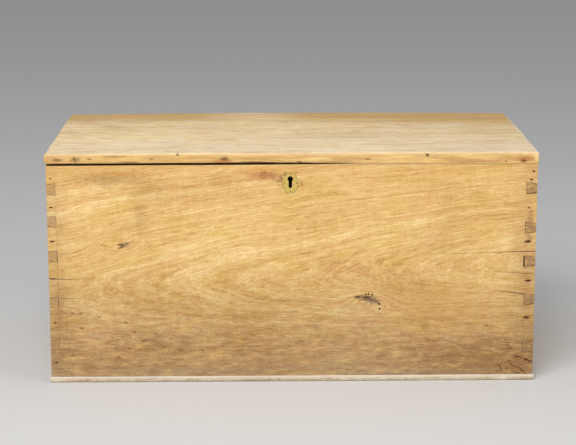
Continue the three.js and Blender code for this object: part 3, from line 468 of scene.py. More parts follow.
front_wood = Wood("camphor front", FRONT_PITH, FRONT_LEAN, HONEY, eyes=front_eyes)
x, y, z = parts(front_wood.position)
patchy = between(front_wood.cloud, 0.34, 0.62)
near_rim = times(between(z, *RIM_LEVELS), patchy)
near_corner = times(between(maths("ABSOLUTE", x), *CORNER_REACH), patchy)
# grime and painted shade, darker towards the floor
grime_and_shade_low(front_wood, 1.0)
front_wood.stain(between(z, *DUST_LEVELS), DUST, 0.22)
front_wood.stain(near_rim, WARM, 0.34)
front_wood.wash(near_corner, GLAZE, 0.45)
BLOTCHES = (
    # x, z, half width, half height, turn, colour, strength
    (-54, 434, 46, 15, 0, REDDISH, 0.85),
    (-92, 441, 40, 5, 0, REDDISH, 0.45),
    (-84, 427, 30, 5, 0, REDDISH, 0.40),
    (-41, 438, 9, 12, 0, KNOT_GREY, 0.42),
    (-58, 441, 10, 6, 0, SPECK, 0.50),
    (-28, 424, 8, 7, 0, SPECK, 0.60),
    (-26, 415, 9, 4, 0, SPECK, 0.40),
    (-14, 438, 7, 7, 0, SPECK, 0.60),
    (19, 417, 7, 6, 0, SPECK, 0.35),
    (8, 441, 8, 4, 0, SPECK, 0.40),
    (-370, 430, 120, 26, 0, DULL, 0.52),
    (-290, 410, 70, 44, 0, DULL, 0.28),
    (-350, 440, 95, 9, 0, WARM, 0.55),
    (-60, 447, 80, 6, 0, WARM, 0.50),
    # a dark ring round the escutcheon: dirt and a painted shadow of its edge
    (-5, 419, 20, 25, 0, KNOT_BROWN, 0.80),
    (-22, 428, 6, 9, 0, KNOT_BROWN, 0.70),
    (-474, 272, 10, 16, 0, REDDISH, 0.30),
    (-473, 238, 10, 12, 0, REDDISH, 0.34),
    (-474, 330, 9, 14, 0, DULL, 0.30),
    (-476, 160, 12, 60, 0, REDDISH, 0.20),
    (484, 330, 10, 60, 0, REDDISH, 0.28),
    (488, 345, 9, 24, 0, KNOT_GREY, 0.50),
    (488, 304, 9, 12, 0, KNOT_GREY, 0.40),
    (484, 200, 12, 70, 0, REDDISH, 0.30),
    (-309, 358, 22, 70, 0, DULL, 0.30),
    (-230, 395, 80, 26, 4, DULL, 0.16),
    (400, 46, 260, 78, 3, DULL, 0.95),
    (300, 150, 200, 85, 0, WARM, 0.32),
    (465, 40, 70, 48, 0, SPECK, 0.42),
    (330, 56, 110, 16, -10, REDDISH, 0.30),
    (470, 250, 50, 190, 0, DULL, 0.22),
    (-482, 150, 26, 150, 0, DULL, 0.34),
    (-290, 90, 110, 34, -6, SPECK, 0.32),
    (60, 30, 210, 12, 0, DUST, 0.40),
    (-230, 22, 260, 12, 0, FOOT_GREY, 0.45),
    (250, 18, 260, 8, 0, FOOT_GREY, 0.45),
    (300, 300, 90, 60, 12, DULL, 0.14),
)
front_wood.stain_marks(FRONT_FACE, BLOTCHES, 0.9, 1.0)
low_grain = noise_at(front_wood.position, SOAKED_GRAIN, detail=6.0, roughness=0.75)
low_down = between(z, *SOAKED_LEVELS)
front_wood.stain(times(low_down, between(low_grain, 0.50, 0.62)), SOAKED, 0.42)
front_wood.stain(times(low_down, between(low_grain, 0.48, 0.36)), RUBBED, 0.36)
print("front:", len(BLOTCHES), "blotches,", len(front_wood.tree.nodes), "nodes so far")

# %% [markdown]
# The two knots are built up from a few overlapping ovals each: a dull halo, a grey body, and dark brown
# where the wood has checked.

# %% Knots of the front
KNOTS = (
    # the left knot: a bent dark eye with a strand below it and a tail rising to the right
    (-345, 292.0, 21, 9.0, 14, DULL, 0.50),
    (-344, 292.6, 14, 5.0, 12, KNOT_GREY, 0.90),
    (-352, 292.8, 11, 3.4, 6, KNOT_BROWN, 0.80),
    (-350, 287.6, 11, 3.6, 30, KNOT_BROWN, 0.70),
    (-331, 298.2, 10, 3.2, 26, KNOT_BROWN, 0.55),
    # the right knot: a grey body with dark cracks on its left and an arm down to the right
    (156, 174.0, 34, 14.0, -10, DULL, 0.45),
    (154, 176.4, 26, 8.4, -8, KNOT_GREY, 1.00),
    (171, 171.5, 16, 7.0, -32, KNOT_GREY, 0.95),
    (163, 168.5, 6, 9.0, 0, KNOT_BROWN, 0.50),
    (135, 180.0, 12, 3.8, 10, KNOT_BROWN, 0.95),
    (151, 179.6, 15, 4.4, -6, KNOT_BROWN, 0.85),
    (149, 162.0, 12, 9.0, 0, REDDISH, 0.34),
)
front_wood.stain_marks(FRONT_FACE, KNOTS, 0.75, 0.85)
print("front:", len(KNOTS), "ovals in two knots")

# %% [markdown]
# Last come the joiner's gauge lines, dirt and painted shade in every crack, painted shade along the gap under
# the lid, the rust round the nails, small dark specks, and a painted highlight on the front's upper arris.

# %% Lines, nails and specks of the front
FRONT_NAILS = (
    # x, z, half width and half height of each rusty head
    (-491.0, 430.8, 2.6, 0.8), (-491.5, 370.8, 3.9, 1.1), (-490.5, 300.3, 4.4, 1.3),
    (-491.0, 221.0, 3.4, 1.2), (-489.0, 128.6, 2.8, 1.1), (-489.0, 42.7, 3.4, 1.4),
    (492.0, 441.7, 2.8, 1.1), (488.0, 424.5, 4.0, 1.3), (484.0, 365.8, 2.8, 1.1), (484.0, 295.4, 6.4, 2.0),
    (486.5, 212.8, 6.0, 1.8), (484.5, 134.7, 5.8, 2.0), (486.0, 43.9, 3.6, 1.7),
)
SPECKS = (
    # x, z and size
    (11, 324, 2.2), (-453, 148, 3.2), (-436, 148, 3.8), (-435, 116, 3.4), (-344, 128, 3.0),
    (-326, 107, 3.6), (-307, 89, 4.2), (-266, 74, 3.6), (-231, 68, 3.8), (-360, 53, 4.6), (-186, 68, 3.0),
    (-398, 140, 2.6), (-372, 96, 2.4), (-284, 104, 2.6), (-250, 92, 2.4), (-338, 72, 2.8), (-455, 58, 3.4),
    (402, 118, 2.6), (441, 88, 3.2), (452, 68, 4.6), (447, 75, 3.0), (426, 32, 4.0), (450, 42, 4.2),
    (466, 50, 4.4), (494, 40, 3.6), (478, 33, 3.0), (445, 24, 3.4), (430, 20, 3.0), (486, 28, 2.6),
)
GAUGE_LINES = (
    # x, z of the middle, half length, strength: scribed by the joiner, and filled with dirt since
    (-481.6, 250, 220, 0.30),
    (-481.6, 118, 66, 0.55),
    (-466.3, 120, 62, 0.50),
    (478.0, 250, 230, 0.25),
    (484.0, 330, 26, 0.35),
)
lines = [(x_mm, z_mm, 1.1, half, 0, SPECK, strength) for x_mm, z_mm, half, strength in GAUGE_LINES]
front_wood.stain_marks(FRONT_FACE, lines, 0.5, 0.8)
# dirt and painted shade in the front's splits, joint gaps and nail pockets
front_wood.crack_dirt_and_shade(FRONT_FACE, (0.45, 1.1), (WALL_FOOT + 2 * MM, RIM - 4 * MM), END_FACE - 1 * MM)
# painted shade on the rim's top, in the gap under the lid, most at the left
gap_shade_on_rim = times(
    between(z, RIM - 3.2 * MM, RIM - 2.2 * MM),
    between(y, FRONT_FACE + 15 * MM, FRONT_FACE + 2 * MM),
    between(y, FRONT_FACE + 0.3 * MM, FRONT_FACE + 1.5 * MM),
    between(x, 0.22, 0.0, 0.2, 1.0),
)
front_wood.stain(gap_shade_on_rim, CRACK_BLACK, 0.95)
specks = [
    (x_mm, z_mm, 2.3 * size, 0.8 * size, 14 * (x_mm % 3 - 1), SPECK, 0.85) for x_mm, z_mm, size in SPECKS
]
front_wood.stain_marks(FRONT_FACE, specks + rust_halos(FRONT_NAILS), 0.6, 0.8)
# a painted highlight along the front's upper arris
lit_rim_arris = times(
    between(z, RIM - 2.4 * MM, RIM - 1.2 * MM),
    between(y, FRONT_FACE + 0.9 * MM, FRONT_FACE + 0.3 * MM),
)
front_wood.stain(lit_rim_arris, HONEY[2], 0.60)
front_material = front_wood.finish()
print("front board's material has", len(front_wood.tree.nodes), "nodes")

# %% [markdown]
# ## The lid's wood
#
# The lid is cut from another trunk, so it has its own pith and lean. It is paler where hands and weather
# bleached it, and its back strip is streaked with brown.

# %% Top of the lid
LID_TONES = (tone(193, 157, 104), tone(238, 208, 154), tone(250, 231, 189), tone(186, 148, 98))
LID_PITH, LID_LEAN = (0.0, 0.62, LID_TOP + 0.16), (0.0, 0.0, 0.031)

lid_wood = Wood("camphor lid", LID_PITH, LID_LEAN, LID_TONES, figure=1.3, grit=1.2)
x, y, z = parts(lid_wood.position)
# the brown strip along the back edge wavers, and is fainter left of the middle
slant = maths("MULTIPLY_ADD", x, 0.05, y)
uneven = maths("MULTIPLY_ADD", maths("SUBTRACT", lid_wood.band, 0.5), 0.20, slant)
bleached = between(maths("ABSOLUTE", maths("ADD", x, 0.08)), 0.02, 0.16, 0.4, 1.0)
back_strip = times(between(uneven, 0.095, 0.195), bleached)
brown_streaks = between(maths("ADD", lid_wood.band, lid_wood.dash), 0.98, 1.14)
# short marks and long drifts, both stretched along the fibres
mottle = noise_at(lid_wood.position, (22.0, 80.0, 1.0), detail=4.0, roughness=0.68)
drift = noise_at(lid_wood.position, (4.0, 42.0, 1.0), detail=4.0, roughness=0.6)
LID_STAINS = (
    # where, colour, strength
    (between(y, 0.02, -0.25), tone(238, 222, 196), 0.40),  # bleached towards the front
    (between(drift, 0.50, 0.66), tone(204, 182, 152), 0.45),  # long drifts of grey
    (between(drift, 0.47, 0.36), tone(238, 208, 150), 0.45),  # and of honey
    (between(mottle, 0.52, 0.68), tone(182, 144, 94), 0.45),  # small brown marks
    (between(mottle, 0.48, 0.34), tone(246, 234, 212), 0.45),  # and chalky ones
    (back_strip, tone(201, 158, 86), 0.80),
    (times(back_strip, brown_streaks), tone(146, 104, 62), 0.50),
)
for share, colour, strength in LID_STAINS:
    lid_wood.stain(share, colour, strength)
print("lid:", len(LID_STAINS), "stains on the top")

# %% [markdown]
# The lid's front edge keeps the honey colour, under streaks, small knots and knocks that are listed one by
# one. Its foot is grimy on the left, where the lid stands off the front. The material knows the edge and
# the underside by the direction that their surface faces.

# %% Edges and underside of the lid
faces_back, faces_up = parts(put("TexCoord", {}, lid_wood.tree).outputs["Normal"])[1:]
front_edge = between(times(faces_back, -1.0), 0.35, 0.9)
under = between(times(faces_up, -1.0), 0.5, 0.9)
edge_streak = noise_at(lid_wood.position, (15.0, 1.0, 170.0), detail=5.0, roughness=0.7)
edge_dirt = maths("MULTIPLY_ADD", edge_streak, 24 * MM, z)
foot_line = between(edge_dirt, LID_FOOT + 19 * MM, LID_FOOT + 12 * MM)
leftwards = between(x, 0.22, 0.0)
arris_level = maths("MULTIPLY_ADD", edge_streak, 6 * MM, z)
EDGE_STAINS = (
    # where on the edge, colour, strength
    (1.0, tone(207, 163, 86), 0.80),
    (between(edge_streak, 0.47, 0.58), tone(166, 118, 60), 0.45),
    (between(edge_streak, 0.47, 0.36), tone(240, 206, 130), 0.45),
    (times(foot_line, leftwards), SPECK, 0.60),
    (between(arris_level, LID_TOP - 6 * MM, LID_TOP + 4 * MM), tone(220, 190, 142), 0.60),
)
for share, colour, strength in EDGE_STAINS:
    lid_wood.stain(times(front_edge, share), colour, strength)
EDGE_MARKS = (
    # x, z, half width, half height, turn, colour, strength
    (-476, 469, 16, 6, 0, SPECK, 0.75),
    (-440, 470, 15, 9, 10, DULL, 0.80),
    (-410, 471, 8, 3, 0, SPECK, 0.80),
    (-360, 476, 40, 3, 0, DULL, 0.60),
    (-330, 464.5, 34, 2.2, 0, SPECK, 0.75),
    (-285, 470, 7, 3.4, 0, SPECK, 0.70),
    (-232, 479, 6, 3.5, 0, KNOT_BROWN, 0.80),
    (-137, 470, 14, 6, 4, KNOT_BROWN, 0.90),
    (-140, 465, 30, 6, 0, REDDISH, 0.70),
    (-70, 463.5, 50, 2.6, -2, SPECK, 0.85),
    (15, 463, 9, 4, 0, KNOT_BROWN, 0.80),
    (90, 463, 60, 3, 0, DULL, 0.60),
    (154, 469, 7, 3.6, 0, KNOT_BROWN, 0.80),
    (274, 477, 6, 5, -30, KNOT_BROWN, 0.95),
    (360, 463, 70, 3, 0, DULL, 0.50),
    (470, 465, 9, 6, 0, KNOT_BROWN, 0.95),
    (472, 469, 26, 11, 0, REDDISH, 0.60),
    (412, 463.5, 48, 3.4, 0, REDDISH, 0.60),
    (434, 463, 5, 3, 0, KNOT_BROWN, 0.70),
    (496, 471, 5, 12, 0, HONEY[2], 0.70),
)
lid_face = lid_low.y
lid_wood.stain_marks(lid_face, EDGE_MARKS, 0.6, 0.8)
# dirt and painted shade in the lid's splits and bites
lid_wood.crack_dirt_and_shade(lid_face, (0.7, 2.2), (LID_FOOT, LID_TOP - 1.5 * MM), END_FACE)
lid_wood.stain(under, tone(188, 145, 92), 0.55)
right_arris = times(
    between(x, END_FACE - 5 * MM, END_FACE + 2 * MM),
    between(z, LID_TOP - 5 * MM, LID_TOP - 1 * MM),
)
lid_wood.stain(right_arris, tone(252, 236, 208), 0.75)
lid_material = lid_wood.finish()
print("lid's material has", len(lid_wood.tree.nodes), "nodes")

# %% [markdown]
# ## The other woods
#
# Back, ends and battens are camphor wood from other trunks, each with its own pith and lean. The bottom
# boards are a pale softwood, with a painted highlight along the top edge where they stand out past the
# walls. The till is bare.

# %% Finishes of the other boards
PALE_TONES = (tone(148, 126, 100), tone(194, 177, 147), tone(226, 214, 190), tone(142, 120, 94))
LEFT_END_TONES = HONEY[:3] + (tone(160, 126, 90),)
RIGHT_END_TONES = HONEY[:3] + (tone(124, 94, 70),)
TILL_TONES = (tone(176, 132, 82), tone(203, 162, 106), tone(224, 188, 134), tone(150, 112, 72))

back_wood = Wood("camphor back", (0.2, BACK_FACE + 0.05, 0.19), (0.0, 0.05, 0.06), HONEY)
grime_and_shade_low(back_wood, 0.8)
BACK_NAILS = [(x_mm, z_mm + 1.0, 2.6, 2.4) for x_mm, z_mm, across, up in FRONT_NAILS]
back_wood.stain_marks(BACK_FACE, rust_halos(BACK_NAILS), 0.4, 0.8)
back_material = back_wood.finish()
end_woods = {
    "left": Wood("camphor left end", (-END_FACE + 0.07, 0.0, 0.30), (0.0, 0.05, 1.52), LEFT_END_TONES, 1),
    "right": Wood("camphor right end", (END_FACE - 0.06, 0.0, 0.15), (0.0, 0.05, 1.62), RIGHT_END_TONES, 1),
}
for end_wood in end_woods.values():
    grime_and_shade_low(end_wood, 0.5)
end_materials = {side: end_wood.finish() for side, end_wood in end_woods.items()}
batten_material = Wood("camphor battens", (0.9, 0.0, RIM), (0.0, 0.0, 1.55), TILL_TONES, 1).finish()
bottom_wood = Wood("pale bottom", (0.0, -0.4, -0.05), (0.0, 0.0, 0.01), PALE_TONES)
x, y, z = parts(bottom_wood.position)
past_ends = maths("SUBTRACT", maths("ABSOLUTE", x), END_FACE)
past_walls = maths("MAXIMUM", past_ends, maths("SUBTRACT", maths("ABSOLUTE", y), BACK_FACE))
# a painted highlight along the top edge, where the boards stand out past the walls
lit_top_edge = between(maths("MULTIPLY_ADD", bottom_wood.ripple, 6 * MM, z), 8.5 * MM, 11.5 * MM)
lit_top_edge = times(between(past_walls, -1 * MM, 1 * MM), lit_top_edge)
bottom_wood.stain(lit_top_edge, tone(222, 207, 192), 0.60)
bottom_material = bottom_wood.finish()
till_material = Wood("bare till", (-0.9, 0.0, RIM - 0.1), (0.0, 0.0, 1.60), TILL_TONES, 1).finish()
print("bottom boards' material has", len(bottom_wood.tree.nodes), "nodes")

# %% [markdown]
# ## Metals
#
# Old brass is yellow where fingers polish it and brown in its corners. Wrought iron is almost black, with
# brown rust in patches and a grey shine on worn edges. Both come from one recipe: a clean metal, a dirty
# coat, and noise that decides where each shows.


# %% Finishes of the metals
# painted shade inside the lock's case, seen through the keyhole
PAINTED_LOCK_SHADE = tone(22, 17, 12)
LOCK_FOOT = (0.38, 0.39)  # the levels between which the lock's case begins


def inside_lock(position):
    """1 inside the lock's case, where painted shade darkens the metal."""
    x, y, z = parts(position)
    return times(
        between(y, FRONT_FACE + 1.5 * MM, FRONT_FACE + 3 * MM),
        between(y, FRONT_INSIDE, FRONT_INSIDE - 2 * MM),
        between(z, *LOCK_FOOT),
        between(z, RIM - 1 * MM, RIM - 3 * MM),
    )


def old_metal(name, clean, dirty, roughness, dirt, scale=90.0):
    """A metal with an uneven dull coat over it."""
    made, tree, surface = new_material(name)
    position = put("TexCoord", {}, tree).outputs["Object"]
    patches = noise_at(position, (scale, scale, scale), detail=5.0, roughness=0.65)
    pits = noise_at(position, (9 * scale,) * 3, detail=2.0)
    coat = between(patches, 0.62 - dirt, 0.82 - dirt)
    colour = mixed(coat, clean, dirty)
    # painted shade inside the lock's case
    colour = mixed(inside_lock(position), colour, PAINTED_LOCK_SHADE)
    tree.links.new(colour, surface.inputs["Base Color"])
    tree.links.new(between(coat, 0.0, 1.0, 1.0, 0.35), surface.inputs["Metallic"])
    tree.links.new(between(patches, 0.2, 0.8, *roughness), surface.inputs["Roughness"])
    height = maths("MULTIPLY_ADD", pits, 0.4, patches)
    bump = put("Bump", {"Height": height, "Strength": 0.3, "Distance": 0.3 * MM})
    tree.links.new(bump.outputs[0], surface.inputs["Normal"])
    return made


brass = old_metal("old brass", tone(238, 208, 118), tone(150, 118, 60), (0.30, 0.5), 0.10, 160.0)
dull_brass = old_metal("dull brass", tone(178, 146, 84), tone(98, 74, 42), (0.42, 0.68), 0.24, 70.0)
tarnished = old_metal("tarnished brass", tone(128, 100, 52), tone(66, 48, 26), (0.45, 0.7), 0.25, 500.0)
iron = old_metal("wrought iron", tone(84, 80, 76), tone(46, 34, 27), (0.45, 0.75), 0.34)
rusty = old_metal("rusty nails", tone(92, 62, 42), tone(48, 30, 20), (0.6, 0.85), 0.30, 400.0)
steel = old_metal("dark steel", tone(132, 128, 120), tone(78, 64, 50), (0.32, 0.55), 0.22)
print("metals:", ", ".join(metal.name for metal in (brass, dull_brass, tarnished, iron, rusty, steel)))

# %% [markdown]
# ## From a sharp solid to a worn piece
#
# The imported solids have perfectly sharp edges, which no real board or casting has. A copy of a solid is
# welded, its flat faces are joined up, and every sharp edge gets a small bevel that catches the light.
# Boards are then sliced across, so that there are points to move, and a slow noise bends their faces and
# arrises by a fraction of a millimetre, as a hand plane and a century of use do. The noise has a fixed
# seed, so that the chest comes out the same on every run.

# %% Helpers for pieces
WELD = 1e-6  # points closer than this become one
FLAT = math.radians(0.6)  # faces that turn by less than this become one
SHARP = math.radians(28)  # edges that turn by more than this get a bevel
GAP_FADE = 14.0  # how quickly the gap under the lid closes towards the right
NOISE_SEED = 24
noise.seed_set(NOISE_SEED)


def welded_copy(node):
    """A solid's loose triangles as one closed mesh with whole flat faces."""
    mesh = bmesh.new()
    mesh.from_mesh(frame["nodes"][node].data)
    bmesh.ops.remove_doubles(mesh, verts=mesh.verts, dist=WELD)
    bmesh.ops.dissolve_limit(mesh, angle_limit=FLAT, verts=mesh.verts, edges=mesh.edges)
    return mesh


def soften(mesh, width, segments=2):
    """A small bevel on every sharp edge."""
    sharp = [edge for edge in mesh.edges if edge.is_manifold and edge.calc_face_angle() > SHARP]
    bmesh.ops.bevel(
        mesh, geom=sharp, offset=width, offset_type="OFFSET", segments=segments,
        profile=0.5, affect="EDGES", clamp_overlap=True, material=-1,
    )


def slice_along(mesh, axis, step):
    """Cuts the mesh across at even steps, so that long edges have points to move."""
    normal = Vector((0.0, 0.0, 0.0))
    normal[axis] = 1.0
    values = [vertex.co[axis] for vertex in mesh.verts]
    low, high = min(values), max(values)
    count = max(1, round((high - low) / step))
    for index in range(1, count):
        place = normal * (low + (high - low) * index / count)
        geometry = mesh.verts[:] + mesh.edges[:] + mesh.faces[:]
        bmesh.ops.bisect_plane(mesh, geom=geometry, plane_co=place, plane_no=normal, dist=WELD)


def wander(mesh, amount, size, seed):
    """Moves every point by slow noise, up to about the given amount."""
    shift = Vector((seed * 7.3, seed * 3.1, seed * 5.7))
    for vertex in mesh.verts:
        vertex.co += noise.noise_vector(vertex.co / size + shift) * amount


def worn_board(node, bevel, steps, amount, size, seed, segments=2):
    """A packed board, softened, sliced and bent. Bevel, steps and amount are millimetres, size is metres."""
    board = welded_copy(node)
    soften(board, bevel * MM, segments)
    for axis, step in steps.items():
        slice_along(board, axis, step * MM)
    wander(board, amount * MM, size, seed)
    return board


def left_share(along, middle):
    """1 at the left end and 0 at the right, changing softly around a place. Along runs from -1 to 1."""
    return 1.0 / (1.0 + math.exp(GAP_FADE * (along - middle)))


def add_piece(name, mesh, body, material, replaced=()):
    """Makes a mesh a piece of the chest: named, dressed, and riding on its body."""
    data = bpy.data.meshes.new(name)
    mesh.to_mesh(data)
    mesh.free()
    data.materials.append(material)
    for packed in ("custom_normal", "sharp_edge"):
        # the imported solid's own shading doesn't fit the softened shape
        if packed in data.attributes:
            data.attributes.remove(data.attributes[packed])
    piece = bpy.data.objects.new(name, data)
    bpy.context.scene.collection.objects.link(piece)
    data.shade_smooth()
    data.set_sharp_from_angle(angle=SHARP)
    weighted = piece.modifiers.new("even shading", "WEIGHTED_NORMAL")
    weighted.keep_sharp = True
    if replaced:
        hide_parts(*replaced)
    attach(piece, body)
    return piece


def show(piece):
    """Prints what a finished piece is made of."""
    size = [round(value / MM, 1) for value in piece.dimensions]
    print(f"{piece.name}: {len(piece.data.polygons)} faces, {size} mm")
    return piece


# %% [markdown]
# ## Splits, nail holes and bites
#
# A split is a thin gap that tapers to nothing at both ends, and a nail hole is a small pocket. Both are
# cut into the board for real, so that they are dark because light can't reach in. All cutters of one
# board are gathered in one mesh and taken away in one Boolean.


# %% Cutters
NAIL_DEPTH = 1.4 * MM
BOTTOM_NAIL_REACH = Vector((3.4, 3.4, 0.9)) * MM
HEAD_SUNK, HEAD_SIZE = 0.95, 0.85  # a nail's head as shares of its pocket
BLADE_PROUD = 1.0 * MM  # how far a cutter stands out of the face


def point_on(points, share):
    """The point at a share of a path's length, counted by its points."""
    spot = share * (len(points) - 1)
    index = min(int(spot), len(points) - 2)
    first, second = Vector(points[index]), Vector(points[index + 1])
    return first.lerp(second, spot - index)


def path_of(points):
    """Points in millimetres, with the width of the gap there, as a path in metres."""
    return [Vector(point) * MM for point in points]


def join_into(mesh, addition):
    """Adds one mesh to another, with its faces turned outwards."""
    bmesh.ops.recalc_face_normals(addition, faces=addition.faces)
    data = bpy.data.meshes.new("addition")
    addition.to_mesh(data)
    addition.free()
    mesh.from_mesh(data)
    bpy.data.meshes.remove(data)


def add_split(mesh, points, depth, face):
    """A blade that follows a path on a face: a cube, sliced along its length and bent to the path."""
    blade = bmesh.new()
    bmesh.ops.create_cube(blade, size=1.0)
    slice_along(blade, 0, 0.2 / len(points))
    for vertex in blade.verts:
        share, deep, side = vertex.co.x + 0.5, vertex.co.y + 0.5, vertex.co.z
        middle = point_on(points, share)
        ahead = point_on(points, min(1.0, share + 0.01)) - point_on(points, max(0.0, share - 0.01))
        across = Vector((-ahead.y, ahead.x)).normalized()
        width = middle.z * (1.0 - 0.3 * deep)  # narrower at the bottom of the split
        jitter = 0.5 * noise.noise(Vector((middle.x * 60, middle.y * 60, 7.0)))
        place = middle.xy + across * width * (side + jitter)
        vertex.co = Vector((place.x, face - BLADE_PROUD + (depth + BLADE_PROUD) * deep, place.y))
    join_into(mesh, blade)


def add_pocket(mesh, centre, reach, segments=12):
    """An oval pocket around a point, with its half sizes."""
    place = Matrix.LocRotScale(centre, None, Vector(reach))
    bmesh.ops.create_uvsphere(mesh, u_segments=segments, v_segments=segments // 2, radius=1.0, matrix=place)


def add_pockets(mesh, nails):
    """A pocket for each nail."""
    for centre, reach, inward in nails:
        add_pocket(mesh, centre, reach)


def wall_nails(nails, face):
    """The nails of an upright face: the middle of each, its pocket's half sizes, and the way in."""
    inward = Vector((0.0, -math.copysign(1.0, face), 0.0))
    places = []
    for x_mm, z_mm, across, up in nails:
        reach = Vector((across * MM, NAIL_DEPTH, up * MM))
        places.append((Vector((x_mm * MM, face, z_mm * MM)), reach, inward))
    return places


def add_heads(mesh, nails):
    """Nail heads that sit just inside their pockets."""
    for centre, reach, inward in nails:
        sunk = centre + HEAD_SUNK * inward * abs(reach.dot(inward))
        add_pocket(mesh, sunk, HEAD_SIZE * reach, 10)


def cut_away(mesh, cutters, crossing=False):
    """Takes the cutters out of the mesh. Cutters that cross each other need the slower, exact way."""
    bmesh.ops.triangulate(mesh, faces=[face for face in mesh.faces if len(face.verts) > 3])
    target, tool = (bpy.data.objects.new(name, bpy.data.meshes.new(name)) for name in ("board", "cutters"))
    for thing, source in ((target, mesh), (tool, cutters)):
        source.to_mesh(thing.data)
        source.free()
        bpy.context.scene.collection.objects.link(thing)
    boolean = target.modifiers.new("cut", "BOOLEAN")
    boolean.operation, boolean.object = "DIFFERENCE", tool
    boolean.solver = "EXACT" if crossing else "MANIFOLD"
    boolean.use_self = crossing
    bpy.context.view_layer.update()
    result = bmesh.new()
    result.from_object(target, bpy.context.evaluated_depsgraph_get())
    bpy.data.objects.remove(target)
    bpy.data.objects.remove(tool)
    return result


# %% [markdown]
# ## The carcase
#
# Front and back carry the tails of the dovetails, the ends carry the pins. Only the front is known mark
# by mark. Its splits start at the corners, where nails hold wood that wanted to shrink, and they are
# measured here in millimetres right of the middle and above the floor.

# %% Front board
FRONT_SPLITS = (
    # points right of the middle and above the floor, each with the width of the gap there
    ((-503, 222, 2.2), (-480, 221, 1.5), (-455, 219.5, 0.8), (-430, 222, 0.35), (-404, 226, 0.1)),
    ((-478, 179.8, 0.8), (-455, 179.3, 1.1), (-429, 180.6, 0.15)),
    ((-492, 70.7, 0.3), (-460, 71.4, 0.9), (-432, 70.5, 0.15)),
    ((-470, 272.5, 0.7), (-437, 277.7, 0.9), (-392, 304.9, 0.15)),
    ((252, 269.8, 0.15), (335, 270.4, 0.55), (410, 272.6, 0.9), (460, 274.0, 1.5), (503, 275.2, 1.7)),
    ((394, 233.8, 0.15), (440, 231.0, 0.7), (503, 226.5, 1.2)),
    ((412, 192.6, 0.2), (445, 189.0, 1.3), (478, 184.0, 1.9)),
    ((460, 54.0, 0.3), (468, 51.0, 1.7), (480, 47.0, 0.9), (494, 40.5, 2.0), (501, 37.0, 1.2)),
    ((452, 36.0, 1.1), (458, 30.5, 1.4), (472, 26.5, 0.9), (478, 20.0, 2.1), (486, 14.5, 1.6)),
    ((456, 18.5, 1.4), (466, 15.6, 1.6), (478, 14.8, 0.4)),
    ((428, 36.0, 0.3), (433, 27.0, 1.4), (438, 17.0, 1.1)),
    ((438, 82.0, 0.8), (446, 79.0, 1.4), (455, 81.5, 0.4)),
    ((62, 179.3, 0.05), (95, 178.4, 0.3), (131, 178.2, 0.5)),
    ((-362, 292.4, 0.2), (-353, 293.3, 1.0), (-346, 295.2, 0.2)),
    ((-355, 284.2, 0.1), (-349, 288.0, 0.9), (-340, 292.0, 0.1)),
    ((127, 179.0, 0.1), (135, 179.7, 1.1), (140, 182.4, 0.2)),
    ((140, 180.9, 0.2), (149, 178.8, 1.1), (158, 179.2, 0.2)),
)
JOINT_GAPS = (
    # where a pin has shrunk away from its socket, in the same words
    ((-481.8, 397.0, 0.4), (-481.7, 421.0, 0.6)),
    ((-481.5, 329.5, 1.0), (-481.4, 353.0, 1.2)),
    ((-481.3, 257.0, 1.5), (-481.5, 281.0, 0.9)),
    ((-500.0, 259.2, 1.0), (-482.0, 256.6, 1.4)),
    ((-481.6, 158.5, 0.7), (-481.5, 182.0, 1.0)),
    ((-500.0, 180.4, 0.5), (-482.0, 183.0, 0.9)),
    ((477.2, 395.0, 1.8), (477.4, 419.0, 1.3)),
    ((477.6, 394.3, 1.4), (500.0, 397.2, 1.0)),
    ((477.6, 312.0, 0.8), (477.6, 336.0, 0.9)),
    ((476.7, 241.5, 2.7), (476.9, 265.0, 2.3)),
    ((477.4, 161.0, 1.3), (477.5, 185.0, 0.9)),
    ((477.6, 160.4, 1.1), (500.0, 163.2, 0.7)),
    ((477.6, 60.0, 0.7), (477.6, 83.0, 0.7)),
)
KNOT_HOLES = (
    # x, z and radius of the small holes along the right knot
    (143.0, 182.4, 1.6), (150.6, 185.0, 1.9), (156.8, 186.0, 2.4),
    (165.1, 184.6, 2.2), (179.5, 164.5, 2.4), (180.1, 154.2, 2.4),
)
SPLIT_DEPTH = 7.0 * MM
KNOT_HOLE_DEPTH = 3.0 * MM
RIM_WEAR = 1.0 * MM
RIM_WEAR_REACH = 6 * MM

front_mesh = worn_board("front_board", 0.9, {0: 14, 2: 14}, 0.35, 0.16, 1)
for vertex in front_mesh.verts:
    # the rim is worn down under the lid's gap, most at the left end
    along = vertex.co.x / END_FACE
    near_top = max(0.0, (vertex.co.z - RIM) / RIM_WEAR_REACH + 1.0)
    vertex.co.z -= RIM_WEAR * (1.0 - 0.8 * along) * left_share(along, 0.08) * near_top
cutters = bmesh.new()
for path in FRONT_SPLITS + JOINT_GAPS:
    add_split(cutters, path_of(path), SPLIT_DEPTH, FRONT_FACE)
front_nails = wall_nails(FRONT_NAILS, FRONT_FACE)
add_pockets(cutters, front_nails)
for x_mm, z_mm, radius in KNOT_HOLES:
    add_pocket(cutters, on_front(x_mm, z_mm), (radius * MM, KNOT_HOLE_DEPTH, radius * MM), 8)
front_mesh = cut_away(front_mesh, cutters, crossing=True)
show(add_piece("front_board_worn", front_mesh, "carcase", front_material, ["front_board"]))

# %% [markdown]
# The other boards of the carcase can't be seen in the photograph, so they get an even, quiet wear. The back
# is nailed at its corners like the front, and the bottom boards are nailed on from below, into the lower
# edges of the walls. The till at the left end keeps its crisp edges, because nothing heavy rubs there.

